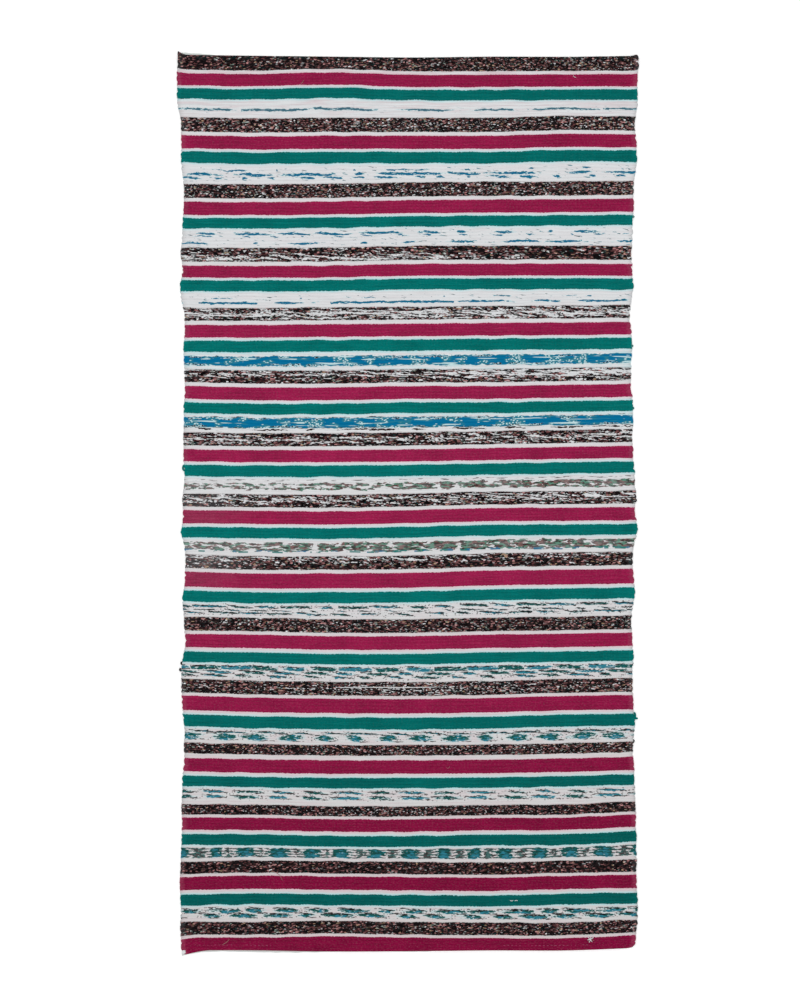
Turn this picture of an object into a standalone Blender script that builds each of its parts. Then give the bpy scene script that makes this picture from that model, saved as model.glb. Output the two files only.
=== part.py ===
"""Rag rug: one flat woven cloth, 0.7 m wide and 1.4 m long, that lies on its flat underside.

The cloth has a rib for every turn of the weft, fifteen uneven repeats of stripes, selvages that wander with
the stripes, and a turned and stitched hem at each end. Metres, +Z up, the length of the rug along Y.
"""

from collections import namedtuple

import bmesh
import bpy
import numpy as np

MM = 0.001

# The cloth, in millimetres.
HALF_WIDTH = 345.0  # the middle of the rug to a selvage where a stripe neither stands out nor draws in
CREST = 4.3  # the floor to the top of a rib
GROOVE = 3.4  # the floor to the bottom of the groove between two ribs
WHITE_LINE = 6.0  # depth of the narrow white stripe above and below each crimson stripe
SCALLOP = 0.8  # how far the turn of the weft stands out at a selvage, past the groove beside it
SHOULDER = 1.2  # how far in from the outline the edge of the cloth is rounded over
SHOULDER_SHARE = 0.78  # height of the cloth there, as a share of its full height
CORNER_RADIUS = 5.0

# The hem at each end: one more layer turned under, sewn down by a line of stitches.
HEM_DEPTH = 13.0
HEM_LAYER = 2.2
HEM_EASE = 4.0  # half the length over which the hem falls to the single cloth
STITCH_INSET = 8.0  # the fold to the line of stitches
STITCH_TROUGH = 0.8
STITCH_SPREAD = 1.8

# Slow rises and falls of a cloth laid out by hand: height, wavelength along X and along Y, and phase.
Wave = namedtuple("Wave", "height along_x along_y phase")
WAVES = (
    Wave(0.22, 610.0, 940.0, 0.4),
    Wave(0.16, -330.0, 270.0, 2.1),
    Wave(0.12, 210.0, 430.0, 4.4),
)

# Where heights are stated across the rug, from the left selvage to the right one.
STATIONS = np.array([-342.0, -243.0, -120.0, 3.0, 126.0, 249.0, 342.0])
TOP_END = np.array([694.0, 691.0, 689.0, 687.0, 689.0, 689.0, 690.0])
BOTTOM_END = np.array([-694.0, -690.0, -691.0, -689.0, -688.0, -688.0, -684.0])

# One row for each repeat, from the top hem down. y is the height of the crimson stripe's upper edge at the
# middle station, and rise is how much higher that edge runs at each station. The last three are the depths
# of the repeat's speckled, crimson and green stripes. The printed stripe fills the rest of the repeat.
Repeat = namedtuple("Repeat", "y rise speckled crimson green")
REPEATS = (
    Repeat(660, (3, 1, 3, 0, 0, 0, 1), 21, 18, 16),
    Repeat(566, (1, -1, 0, 0, 0, 3, 3), 21, 20, 16),
    Repeat(467, (-2, -3, -2, 0, 1, 1, 3), 21, 19, 15),
    Repeat(369, (-3, -3, -2, 0, 0, 1, 0), 20, 18, 16),
    Repeat(276, (-2, -2, -1, 0, 1, 2, 3), 20, 19, 16),
    Repeat(181, (0, -2, -2, 0, 0, 2, 3), 20, 19, 16),
    Repeat(83, (0, -1, -1, 0, 2, 4, 5), 20, 18, 16),
    Repeat(-10, (0, -1, -2, 0, 3, 4, 5), 20, 20, 16),
    Repeat(-107, (1, -1, -1, 0, 3, 5, 6), 20, 22, 16),
    Repeat(-204, (3, 3, 0, 0, 3, 4, 5), 20, 21, 15),
    Repeat(-302, (5, 2, 1, 0, 2, 5, 6), 21, 21, 17),
    Repeat(-396, (3, 2, 0, 0, 1, 3, 5), 16, 20, 15),
    Repeat(-487, (3, 3, 0, 0, 2, 3, 8), 14, 18, 15),
    Repeat(-576, (0, 2, 1, 0, -1, 2, 4), 19, 20, 15),
    Repeat(-669, (0, 0, 2, 0, -1, -1, 3), 20, 19, 0),
)

# How far each selvage stands out past HALF_WIDTH, for the same repeats. The four numbers of a side belong
# to the speckled, the crimson, the green and the printed stripe.
Selvage = namedtuple("Selvage", "left right")
SELVAGES = (
    Selvage((11, 12, 12, 9), (12, 10, 10, 8)),
    Selvage((6, 6, 6, 3), (6, 8, 9, 6)),
    Selvage((1, 2, 3, 4), (4, 4, 2, 1)),
    Selvage((6, 4, 7, 4), (0, 2, 3, 0)),
    Selvage((0, 0, 2, 1), (-2, 0, 2, 0)),
    Selvage((0, 0, 2, 1), (0, 0, 3, 3)),
    Selvage((2, 2, 2, 1), (2, 3, 5, 6)),
    Selvage((3, 3, 6, 0), (7, 7, 9, 4)),
    Selvage((-1, -1, 3, 2), (2, 4, 6, 2)),
    Selvage((1, -1, 3, 6), (0, 2, 4, 2)),
    Selvage((5, 4, 2, 0), (2, 3, 7, 4)),
    Selvage((1, 2, 4, 4), (2, 4, 6, 6)),
    Selvage((5, 4, 5, 6), (7, 7, 8, 8)),
    Selvage((7, 8, 7, 6), (8, 8, 10, 10)),
    Selvage((7, 6, 6, 6), (9, 8, 8, 8)),
)

# The yarns: how many picks of weft make a stripe, and the stripe's colour and roughness.
Yarn = namedtuple("Yarn", "picks colour roughness")
YARNS = {
    "speckled": Yarn(4, (0.060, 0.034, 0.032), 0.93),
    "white": Yarn(2, (0.640, 0.640, 0.650), 0.90),
    "crimson": Yarn(4, (0.280, 0.015, 0.067), 0.90),
    "green": Yarn(3, (0.003, 0.148, 0.132), 0.90),
    "printed": Yarn(6, (0.420, 0.520, 0.560), 0.90),
}

# Columns of the grid between the two shoulders, as shares of the width.
INNER_COLUMNS = (0.25, 0.5, 0.75)

# Edges that bend more than this, in degrees, are shaded sharp: the outline, but not the ribs.
SHARP_ANGLE = 70.0


def across(x, heights):
    """Rows of heights at STATIONS read at x, on a smooth curve: a cubic between each two stations."""
    slopes = np.gradient(heights, STATIONS, axis=1)
    span = np.clip(np.searchsorted(STATIONS, x) - 1, 0, len(STATIONS) - 2)
    row = np.arange(len(heights))[:, None]
    length = STATIONS[span + 1] - STATIONS[span]
    t = (x - STATIONS[span]) / length
    here, there = heights[row, span], heights[row, span + 1]
    out, into = slopes[row, span] * length, slopes[row, span + 1] * length
    turn = 2 * (here - there) + out + into
    bend = 3 * (there - here) - 2 * out - into
    return here + out * t + bend * t**2 + turn * t**3


def stripe_lines():
    """The stripes from the top hem down: (yarn, heights of the upper edge, heights of the lower edge)."""
    edges = [repeat.y + np.array(repeat.rise, float) for repeat in REPEATS]
    stripes = []
    upper = TOP_END
    for index, (repeat, crimson_top) in enumerate(zip(REPEATS, edges)):
        crimson_bottom = crimson_top - repeat.crimson
        stripes.append(("speckled", upper, crimson_top + WHITE_LINE))
        stripes.append(("white", crimson_top + WHITE_LINE, crimson_top))
        if index == len(REPEATS) - 1:
            stripes.append(("crimson", crimson_top, BOTTOM_END))
            break
        green_top = crimson_bottom - WHITE_LINE
        green_bottom = green_top - repeat.green
        upper = edges[index + 1] + WHITE_LINE + REPEATS[index + 1].speckled
        stripes.append(("crimson", crimson_top, crimson_bottom))
        stripes.append(("white", crimson_bottom, green_top))
        stripes.append(("green", green_top, green_bottom))
        stripes.append(("printed", green_bottom, upper))
    return stripes


def weft_rows(stripes):
    """The rows of the grid: heights at STATIONS, how far the row is up its rib, and the yarn below it.

    Each pick gives a groove row at its upper edge and a crest row along its middle. One more row near each
    end of the rug rounds the folded edge of the hem.
    """
    heights, crests, yarns = [], [], []

    def add(row, crest, yarn):
        heights.append(row)
        crests.append(crest)
        yarns.append(yarn)

    for yarn, upper, lower in stripes:
        picks = YARNS[yarn].picks
        for pick in range(picks):
            add(upper + (lower - upper) * pick / picks, 0.0, yarn)
            add(upper + (lower - upper) * (pick + 0.5) / picks, 1.0, yarn)
    first, last = stripes[0][0], stripes[-1][0]
    heights.insert(1, TOP_END - SHOULDER)
    crests.insert(1, 0.5)
    yarns.insert(1, first)
    add(BOTTOM_END + SHOULDER, 0.5, last)
    add(BOTTOM_END, 0.0, last)
    return np.array(heights), np.array(crests), yarns


def selvage_line(stripes, side, column, row_heights):
    """How far one selvage stands out at each row, straight from one stripe's middle to the next one's.

    The rug ends in a crimson stripe, so the last two numbers of the last selvage have no stripe.
    """
    stated = [stripe for stripe in stripes if stripe[0] != "white"]
    middles = np.array([(upper[column] + lower[column]) / 2 for _, upper, lower in stated])
    outs = np.array([value for row in SELVAGES for value in getattr(row, side)], float)
    upwards = np.argsort(middles)
    return np.interp(row_heights[:, column], middles[upwards], outs[upwards])


def corner_inset(gap):
    """How far a rounded corner draws a selvage in, at this distance from the end of the rug."""
    inside = np.clip(CORNER_RADIUS - gap, 0.0, CORNER_RADIUS)
    return CORNER_RADIUS - np.sqrt(CORNER_RADIUS**2 - inside**2)


def hem_height(gap):
    """What the hem adds at this distance from its fold: one more layer, dipped along the stitches."""
    layer = np.clip((HEM_DEPTH + HEM_EASE - gap) / (2 * HEM_EASE), 0.0, 1.0)
    dip = STITCH_TROUGH * np.exp(-(((gap - STITCH_INSET) / STITCH_SPREAD) ** 2))
    return HEM_LAYER * layer * layer * (3 - 2 * layer) - dip


def cloth_points(stripes):
    """Every point of the upper surface, as an array of rows by columns by X, Y and Z in millimetres."""
    heights, crests, yarns = weft_rows(stripes)
    gaps = np.minimum(TOP_END[[0, -1]] - heights[:, [0, -1]], heights[:, [0, -1]] - BOTTOM_END[[0, -1]])
    turn = SCALLOP * crests
    left = -HALF_WIDTH - selvage_line(stripes, "left", 0, heights) - turn + corner_inset(gaps[:, 0])
    right = HALF_WIDTH + selvage_line(stripes, "right", -1, heights) + turn - corner_inset(gaps[:, 1])
    inner = [left + (right - left) * share for share in INNER_COLUMNS]
    x = np.stack([left, left + SHOULDER, *inner, right - SHOULDER, right], axis=1)
    y = across(x, heights)
    z = GROOVE + (CREST - GROOVE) * crests[:, None] * np.ones_like(x)
    for end, sign in ((TOP_END, 1), (BOTTOM_END, -1)):
        z = z + hem_height(sign * (across(x, np.tile(end, (len(heights), 1))) - y))
    for wave in WAVES:
        z = z + wave.height * np.sin(2 * np.pi * (x / wave.along_x + y / wave.along_y) + wave.phase)
    z[:, [1, -2]] *= SHOULDER_SHARE
    z[[1, -2]] *= SHOULDER_SHARE
    z[:, [0, -1]] = 0.0
    z[[0, -1]] = 0.0
    points = np.stack([x, y, z], axis=2)
    middle = (points.min(axis=(0, 1)) + points.max(axis=(0, 1))) / 2
    points[..., :2] -= middle[:2]
    return points, yarns


def yarn_material(name, yarn):
    """A matt cloth finish in the yarn's colour."""
    material = bpy.data.materials.new(f"{name}_weft")
    material.use_nodes = True
    shader = material.node_tree.nodes["Principled BSDF"]
    shader.inputs["Base Color"].default_value = (*yarn.colour, 1.0)
    shader.inputs["Roughness"].default_value = yarn.roughness
    shader.inputs["Metallic"].default_value = 0.0
    return material


def woven_cloth():
    """The rug: a grid bent to the cloth's upper surface, closed below by one flat face."""
    points, yarns = cloth_points(stripe_lines())
    rows, columns = points.shape[0] - 1, points.shape[1] - 1
    names = list(YARNS)
    bm = bmesh.new()
    bmesh.ops.create_grid(bm, x_segments=columns, y_segments=rows, size=1.0)
    row_of = {vert: round((1 - vert.co.y) * rows / 2) for vert in bm.verts}
    column_of = {vert: round((1 + vert.co.x) * columns / 2) for vert in bm.verts}
    for face in bm.faces:
        face.material_index = names.index(yarns[min(row_of[vert] for vert in face.verts)])
    for vert in bm.verts:
        vert.co = points[row_of[vert], column_of[vert]] * MM
    outline = [edge for edge in bm.edges if edge.is_boundary]
    underside = bmesh.ops.contextual_create(bm, geom=outline, mat_nr=names.index("white"))["faces"]
    bmesh.ops.triangulate(bm, faces=underside, ngon_method="BEAUTY")
    bmesh.ops.recalc_face_normals(bm, faces=bm.faces)
    mesh = bpy.data.meshes.new("woven_cloth")
    bm.to_mesh(mesh)
    bm.free()
    for name, yarn in YARNS.items():
        mesh.materials.append(yarn_material(name, yarn))
    mesh.shade_smooth()
    mesh.set_sharp_from_angle(angle=np.radians(SHARP_ANGLE))
    return bpy.data.objects.new("woven_cloth", mesh)


def main():
    for obj in list(bpy.data.objects):
        bpy.data.objects.remove(obj)
    collection = bpy.data.collections.new("rag_rug")
    bpy.context.scene.collection.children.link(collection)
    collection.objects.link(woven_cloth())


main()
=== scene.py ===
"""The rag rug with its finish: striped weft, turned hems, stitching and loose threads, seen from above.

The tables are in millimetres: X across the rug, Y along it, +Z up, with zero at the rug's middle on the
floor. MM turns them into the metres of the meshes.
"""

from collections import namedtuple
from types import SimpleNamespace

import bpy
import numpy as np
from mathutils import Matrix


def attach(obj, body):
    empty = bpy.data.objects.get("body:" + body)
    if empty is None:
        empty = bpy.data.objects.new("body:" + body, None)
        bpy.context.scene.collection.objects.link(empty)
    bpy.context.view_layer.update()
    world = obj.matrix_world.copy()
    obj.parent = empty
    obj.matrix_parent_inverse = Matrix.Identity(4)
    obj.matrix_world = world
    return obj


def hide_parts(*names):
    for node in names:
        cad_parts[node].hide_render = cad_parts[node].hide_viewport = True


bl_info = {
    "name": "Rag rug",
    "version": (1, 0, 0),
    "blender": (4, 5, 0),
    "location": "3D View > Sidebar > Rag rug",
    "description": "Weaves the striped rag rug, with its hems and loose threads",
    "category": "Add Mesh",
}

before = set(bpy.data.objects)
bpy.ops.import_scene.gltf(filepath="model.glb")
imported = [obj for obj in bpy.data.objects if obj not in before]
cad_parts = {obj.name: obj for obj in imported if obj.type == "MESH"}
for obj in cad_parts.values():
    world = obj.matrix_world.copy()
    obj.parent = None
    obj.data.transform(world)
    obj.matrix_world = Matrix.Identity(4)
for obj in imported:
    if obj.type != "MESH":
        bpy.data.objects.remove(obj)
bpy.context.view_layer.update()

MM = 0.001

# ---------------------------------------------------------------- the cloth

# Where heights are stated across the rug, from the left selvage to the right one.
STATIONS = np.array([-342.0, -243.0, -120.0, 3.0, 126.0, 249.0, 342.0])
TOP_END = np.array([691.0, 689.6, 688.3, 686.9, 688.2, 688.0, 689.3])
BOTTOM_END = np.array([-688.0, -688.0, -689.9, -689.5, -688.3, -688.2, -684.8])

# One row for each repeat, from the top hem down. y is the height of the crimson stripe's upper edge
# at the middle station, and rise is how much higher that edge runs at each station. The other columns
# are the depths of the repeat's speckled stripe, of the white one over the crimson, the crimson one,
# the white one under it and the green one. The printed stripe fills the rest of the repeat.
Repeat = namedtuple("Repeat", "y rise speckled over crimson under green")
REPEATS = (
    Repeat(660.3, (2.5, 1, 3.5, 0, 0, 0.5, 1), 21.1, 5.6, 18.6, 4.6, 16),
    Repeat(566.3, (1, -1, 0, 0, 0, 3, 2), 21.5, 6.1, 19.9, 4.9, 17.4),
    Repeat(467, (-2.5, -3, -2, 0, 1, 1.5, 2.5), 21.3, 6, 19.8, 4.8, 15.8),
    Repeat(368.8, (-2.5, -3, -2.5, 0, 0.3, 0.5, 0), 21, 6.6, 18, 4.4, 16.7),
    Repeat(276.7, (-1.7, -2, -0.8, 0, 1.3, 2, 3), 19.3, 6.7, 19.1, 5.1, 17.3),
    Repeat(180.7, (0.4, -2, -2, 0, 0, 2, 3.3), 19.8, 6.2, 19.5, 5.5, 16.2),
    Repeat(83.2, (0.2, -1, -1, 0, 2, 4, 5.5), 19.8, 6.2, 18.3, 5.4, 17.3),
    Repeat(-10.2, (0, -1, -2, 0, 3, 3.7, 4.5), 19.4, 5.8, 20, 5.8, 16.3),
    Repeat(-106.9, (2, -1, -1, 0, 3.5, 5, 6.3), 20.4, 6, 22.6, 6.2, 16.6),
    Repeat(-204.5, (3.7, 2.5, 0, 0, 2.5, 4, 5.8), 20.5, 5.5, 20.5, 6.8, 16),
    Repeat(-301.3, (5.5, 2.4, 0.6, 0, 1.7, 5, 6.2), 20.9, 5.1, 22, 6.7, 18.2),
    Repeat(-395.6, (3.8, 1.7, 0, 0, 0.8, 3, 5.5), 15.8, 7.6, 20.5, 6.6, 15.8),
    Repeat(-486.6, (3, 2.7, 0.2, 0, 2.2, 3, 7.6), 15.3, 4.7, 18.9, 6.7, 16.5),
    Repeat(-575.4, (0.2, 2.2, 1, 0, -1, 2, 3.5), 18.6, 4.7, 20.3, 7.2, 16.6),
    Repeat(-668.7, (0.6, 0, 2, 0, -0.8, -0.8, 3.5), 19.3, 4.7, 20.1, 0, 0),
)

# How far each selvage stands out past the half width, for the same repeats. The four numbers of a side
# belong to the speckled, the crimson, the green and the printed stripe.
Selvage = namedtuple("Selvage", "left right")
SELVAGES = (
    Selvage((11.2, 12, 12, 10.5), (11.2, 10.2, 10.2, 9.5)),
    Selvage((6.5, 5.3, 5.2, 4), (5, 8, 9.4, 7.2)),
    Selvage((0.6, 2.5, 3.6, 4.3), (3, 3.8, 3.2, 1.2)),
    Selvage((7.5, 3, 7.5, 5.5), (0.7, 0.7, 3.2, 2.2)),
    Selvage((0.8, -0.2, 3, 1.8), (-3.2, -1, 2.2, 0.2)),
    Selvage((0.5, -0.8, 1.6, 1.6), (0.3, -0.3, 3.2, 3.6)),
    Selvage((3.8, 2.5, 1, 1.5), (2.2, 2.9, 4.2, 6.5)),
    Selvage((4.9, 1.6, 7, 0), (7.2, 6, 9.8, 4.7)),
    Selvage((-0.3, -0.4, 3.7, 2.5), (1.8, 3.3, 6.5, 1.6)),
    Selvage((1.5, -1.6, 3.2, 7.4), (-0.3, 2.4, 3, 2.2)),
    Selvage((5.5, 4, 1.8, -0.2), (2, 3.2, 6.2, 4.6)),
    Selvage((1.2, 0.7, 4, 4.3), (2.5, 4.2, 5.8, 5.4)),
    Selvage((6, 3.3, 5.6, 6), (7.4, 7, 8.3, 8.2)),
    Selvage((6.8, 8.5, 7.6, 5.6), (7.7, 7.8, 10.1, 9.8)),
    Selvage((6.5, 4.4, 4.4, 4.4), (9.2, 6.3, 6.3, 6.3)),
)

# The rug's corners: the end (1 top, -1 bottom), the side (-1 left, 1 right), the corner's radius, how
# far its tip is pulled out past the end, and how far along the end and the selvage that pull reaches.
Corner = namedtuple("Corner", "end side radius lift reach depth")
CORNERS = (
    Corner(1, -1, 1.5, 5.5, 12, 55),
    Corner(1, 1, 3, 2.0, 8, 60),
    Corner(-1, -1, 8, 6.6, 37, 55),
    Corner(-1, 1, 12, 0, 1, 1),
)

# Picks of weft in a stripe of each yarn.
PICKS = {"speckled": 4, "white": 2, "crimson": 4, "green": 3, "printed": 6}

# Slow rises and falls of a cloth laid out by hand.
Wave = namedtuple("Wave", "height along_x along_y phase")
WAVES = (
    Wave(0.22, 610.0, 940.0, 0.4),
    Wave(0.16, -330.0, 270.0, 2.1),
    Wave(0.12, 210.0, 430.0, 4.4),
)

# The white in each speckled stripe, from the top: how much of it runs in streaks, as a share, at
# which share of the depth these are thickest, how pale the stripe is towards its left end, at its
# middle and towards its right end, and how many more of its flecks are dark, as a share.
PALE_PLACES = (0.1, 0.5, 0.9)  # the left, the middle and the right, as shares of the width
Speckle = namedtuple("Speckle", "streaks bed left middle right dark")
SPECKLES = (
    Speckle(0.0, 0.5, 0.00, 0.02, 0.04, 0.02),
    Speckle(0.1, 0.5, 0.04, 0.11, 0.06, 0.00),
    Speckle(0.2, 0.5, 0.08, 0.09, 0.07, 0.00),
    Speckle(1.0, 0.8, 0.33, 0.31, 0.06, 0.00),
    Speckle(1.0, 0.5, 0.37, 0.40, 0.38, 0.00),
    Speckle(1.0, 0.3, 0.27, 0.31, 0.45, 0.00),
    Speckle(1.0, 0.5, 0.29, 0.26, 0.30, 0.00),
    Speckle(1.0, 0.4, 0.32, 0.28, 0.32, 0.00),
    Speckle(1.0, 0.1, 0.26, 0.28, 0.19, 0.00),
    Speckle(0.3, 0.5, 0.05, 0.06, 0.07, 0.01),
    Speckle(0.6, 0.5, 0.13, 0.29, 0.15, 0.02),
    Speckle(0.2, 0.5, 0.05, 0.08, 0.10, 0.02),
    Speckle(0.2, 0.5, 0.05, 0.13, 0.03, 0.08),
    Speckle(0.1, 0.5, 0.00, 0.02, 0.00, 0.08),
    Speckle(0.2, 0.5, 0.02, 0.03, 0.04, 0.04),
)

# The rows of ink on the printed stripes. repeat counts from zero at the top. top and bottom are the
# row's edges in picks below the stripe's upper edge. length is from one dash to the next, start is
# where the row begins as a share of that length, and fill is the share that is inked. order is 1 for
# dashes at even distances and 0 for scattered ones, power is 1.5 for pointed shapes up to 4 for
# blocks, outline is how thick and dark their upper edge is, and lean is how far they drop towards the
# right, in picks for one length. mixed is 0 where green and blue shapes take turns and 1 where each
# shape is blue inside and green outside. In the blue print it is 1 for a row of brown ink.
Dash = namedtuple("Dash", "repeat top bottom length start fill order power outline lean mixed")
DASHES = (
    Dash(0, 2.95, 3.70, 112, 0.30, 0.80, 0.6, 2.4, 0.00, 0.1, 0),
    Dash(1, 1.75, 2.20, 90, 0.60, 0.22, 0.0, 1.6, 0.00, 0.4, 0),
    Dash(1, 2.80, 3.65, 84, 0.42, 0.58, 0.1, 2.0, 0.00, 0.2, 0),
    Dash(1, 3.90, 4.60, 44, 0.15, 0.46, 0.0, 1.6, 0.00, 0.4, 0),
    Dash(2, 1.35, 2.15, 66, 0.20, 0.54, 0.0, 1.6, 0.00, 0.3, 0),
    Dash(2, 2.30, 2.70, 50, 0.70, 0.26, 0.0, 1.5, 0.00, 0.6, 0),
    Dash(2, 4.30, 5.00, 84, 0.45, 0.52, 0.0, 2.0, 0.00, -0.2, 0),
    Dash(3, 2.20, 2.60, 110, 0.10, 0.20, 0.0, 1.6, 0.00, 0.3, 0),
    Dash(3, 3.80, 4.60, 96, 0.30, 0.92, 0.0, 2.2, 0.00, 0.1, 0),
    Dash(4, 1.45, 4.65, 90, 0.00, 9.00, 0.0, 4.0, 0.15, 0.0, 0),
    Dash(5, 1.15, 4.40, 90, 0.50, 9.00, 0.0, 4.0, 0.40, 0.0, 0),
    Dash(5, 4.62, 5.20, 78, 0.35, 0.84, 0.2, 1.6, 0.00, 0.1, 1),
    Dash(8, 1.20, 2.05, 46, 0.30, 0.74, 0.5, 2.2, 1.00, 0.0, 0),
    Dash(8, 2.85, 3.30, 41, 0.10, 0.42, 0.0, 1.8, 1.00, 0.1, 0),
    Dash(8, 3.80, 4.45, 46, 0.75, 0.76, 0.4, 2.2, 1.00, 0.1, 0),
    Dash(9, 1.00, 2.45, 47, 0.15, 0.96, 0.7, 2.4, 1.00, 0.0, 0),
    Dash(9, 2.75, 3.70, 47, 0.60, 0.70, 0.6, 2.0, 1.00, 0.1, 0),
    Dash(9, 4.05, 4.80, 47, 0.85, 0.60, 0.5, 2.2, 1.00, 0.0, 0),
    Dash(10, 1.30, 2.00, 50, 0.80, 0.70, 0.7, 2.0, 1.10, 0.1, 1),
    Dash(10, 2.10, 4.75, 50, 0.14, 0.62, 0.8, 1.6, 0.80, -0.2, 1),
    Dash(11, 1.15, 2.05, 51, 0.32, 0.62, 0.8, 1.6, 1.00, 0.0, 0),
    Dash(11, 2.75, 3.90, 51, 0.35, 0.66, 0.9, 1.6, 1.00, 0.0, 0),
    Dash(12, 0.90, 4.75, 50, 0.44, 0.47, 0.9, 4.0, 0.50, 0.0, 1),
    Dash(13, 1.15, 2.90, 50, 0.20, 0.74, 0.7, 1.7, 1.80, 0.0, 1),
    Dash(13, 2.95, 4.60, 50, 0.62, 0.74, 0.7, 1.7, 1.80, 0.1, 1),
)
GRID_REPEAT = 12  # between this repeat's blocks, dark lines and a darker block cross the white
LEAF_DENSITY = {6: 0.020, 7: 0.054}  # how dense the leaf print is in its two repeats
TEAL_REPEAT = 7  # the repeat whose leaf print has teal along its lower edge

# The printed stripes are woven from three lengths of printed rag, one after another down the rug.
PRINTS = {"blue_print": range(0, 6), "leaf_print": range(6, 8), "block_print": range(8, 14)}
ALL_REPEATS = range(len(REPEATS))

# Where the turned-under heading shows past the fold of a hem: the end (1 top, -1 bottom), the middle
# of the stretch, half its length, and how far the heading stands out.
Rim = namedtuple("Rim", "end x half_length depth")
RIMS = (Rim(1, -356, 64, 3.9), Rim(-1, -318, 60, 3.0), Rim(-1, -218, 112, 3.2), Rim(-1, 8, 42, 1.2))

# Loose threads on the cloth: the points they pass through, their thickness, how high their middle
# lies over the cloth, as a share of the thickness, and their yarn.
Thread = namedtuple("Thread", "points thickness stand yarn")
THREADS = (
    Thread(((-290, 687), (-287, 683), (-284, 679)), 0.6, 0.5, "rose"),
    Thread(((-166, 645), (-163, 648), (-160, 652)), 0.7, 0.5, "rose"),
    Thread(((254, 659), (256, 657), (259, 656)), 0.7, 0.5, "white"),
    Thread(((96, 452), (98, 450), (100, 451)), 0.7, 0.5, "rose"),
    Thread(((-112, -283.4), (-60, -283.0), (-5, -283.3), (49, -282.6)), 1.2, 0.5, "white"),
    Thread(((59.5, -406), (61, -408), (63.5, -406.5), (64.5, -404)), 0.5, 0.5, "rose"),
    Thread(((-213, -563), (-206, -567), (-198, -572), (-193, -581)), 0.7, 0.5, "rose"),
    Thread(((-214, -565), (-211.5, -564), (-209, -563.5)), 1.6, 0.5, "white"),
    Thread(((157, -611), (160, -612), (162, -611)), 1.0, 0.5, "white"),
    Thread(((164, -612), (167, -611), (169, -612)), 0.9, 0.5, "white"),
    Thread(((276, -672), (281, -671), (286, -668)), 1.1, 0.5, "white"),
    Thread(((277, -667), (280, -671), (284, -675)), 1.0, 0.5, "white"),
    Thread(((282, -665), (281, -671), (279, -676)), 1.0, 0.5, "white"),
    Thread(((287, -673), (282, -672), (277, -675)), 0.8, 0.5, "rose"),
    Thread(((-286, -679), (-280, -676), (-275, -671)), 0.8, 0.5, "rose"),
    Thread(((-345.6, -687.5), (-345.2, -689.5), (-344.8, -691.5), (-344.4, -693)), 5.4, 0.0, "white"),
)

# The stretches of the lower hem where its stitches stand out. Elsewhere they lie deep in the cloth.
SEAM_SHOWS = ((-322, -272), (-252, -210), (148, 174), (190, 250), (264, 282))

# Loops and knots of weft that stand out of a selvage: the side (-1 left, 1 right), how high up, half
# the loop's spread along the selvage, its reach, its thickness and its yarn.
Loop = namedtuple("Loop", "side y spread reach thickness yarn")
LOOPS = (
    Loop(-1, 55, 4.0, 2.4, 2.8, "green"),
    Loop(-1, -246, 1.6, 1.2, 2.4, "dark"),
    Loop(-1, -256, 1.6, 1.2, 2.4, "dark"),
    Loop(1, 442, 1.2, 1.8, 1.6, "green"),
    Loop(1, 243, 1.2, 1.6, 1.6, "green"),
    Loop(1, 147, 1.2, 1.6, 1.6, "green"),
    Loop(1, 5, 2.0, 1.6, 2.2, "dark"),
    Loop(1, -327, 4.4, 1.3, 3.2, "green"),
    Loop(1, -331, 0.8, 4.6, 1.8, "green"),
    Loop(1, -366, 2.0, 1.8, 2.0, "dark"),
)


def in_mm(group):
    """The lengths of a property group as a namespace, in millimetres."""
    return SimpleNamespace(**{name: getattr(group, name) / MM for name in type(group).__annotations__})


def across(x, heights):
    """Rows of heights at STATIONS read at x, on a smooth curve: a cubic between each two stations."""
    slopes = np.gradient(heights, STATIONS, axis=1)
    span = np.clip(np.searchsorted(STATIONS, x) - 1, 0, len(STATIONS) - 2)
    row = np.arange(len(heights))[:, None]
    length = STATIONS[span + 1] - STATIONS[span]
    t = (x - STATIONS[span]) / length
    here, there = heights[row, span], heights[row, span + 1]
    out, into = slopes[row, span] * length, slopes[row, span + 1] * length
    turn = 2 * (here - there) + out + into
    bend = 3 * (there - here) - 2 * out - into
    return here + out * t + bend * t**2 + turn * t**3


WANDER_WAVES = 9


def wander(x, y, seed, reach_x, reach_y):
    """An uneven field, mostly between -1 and 1: the sum of a few waves about reach_x by reach_y long,
    over the square root of their number."""
    rng = np.random.default_rng(seed)
    total = np.zeros(np.broadcast(x, y).shape)
    for _ in range(WANDER_WAVES):
        along = 2 * np.pi * rng.uniform(0.5, 1.6) / reach_x
        down = 2 * np.pi * rng.uniform(-1.3, 1.3) / reach_y
        total = total + np.sin(x * along + y * down + rng.uniform(0, 2 * np.pi))
    return total / np.sqrt(WANDER_WAVES)


Stripe = namedtuple("Stripe", "yarn repeat upper lower first_pick above below")


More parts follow.
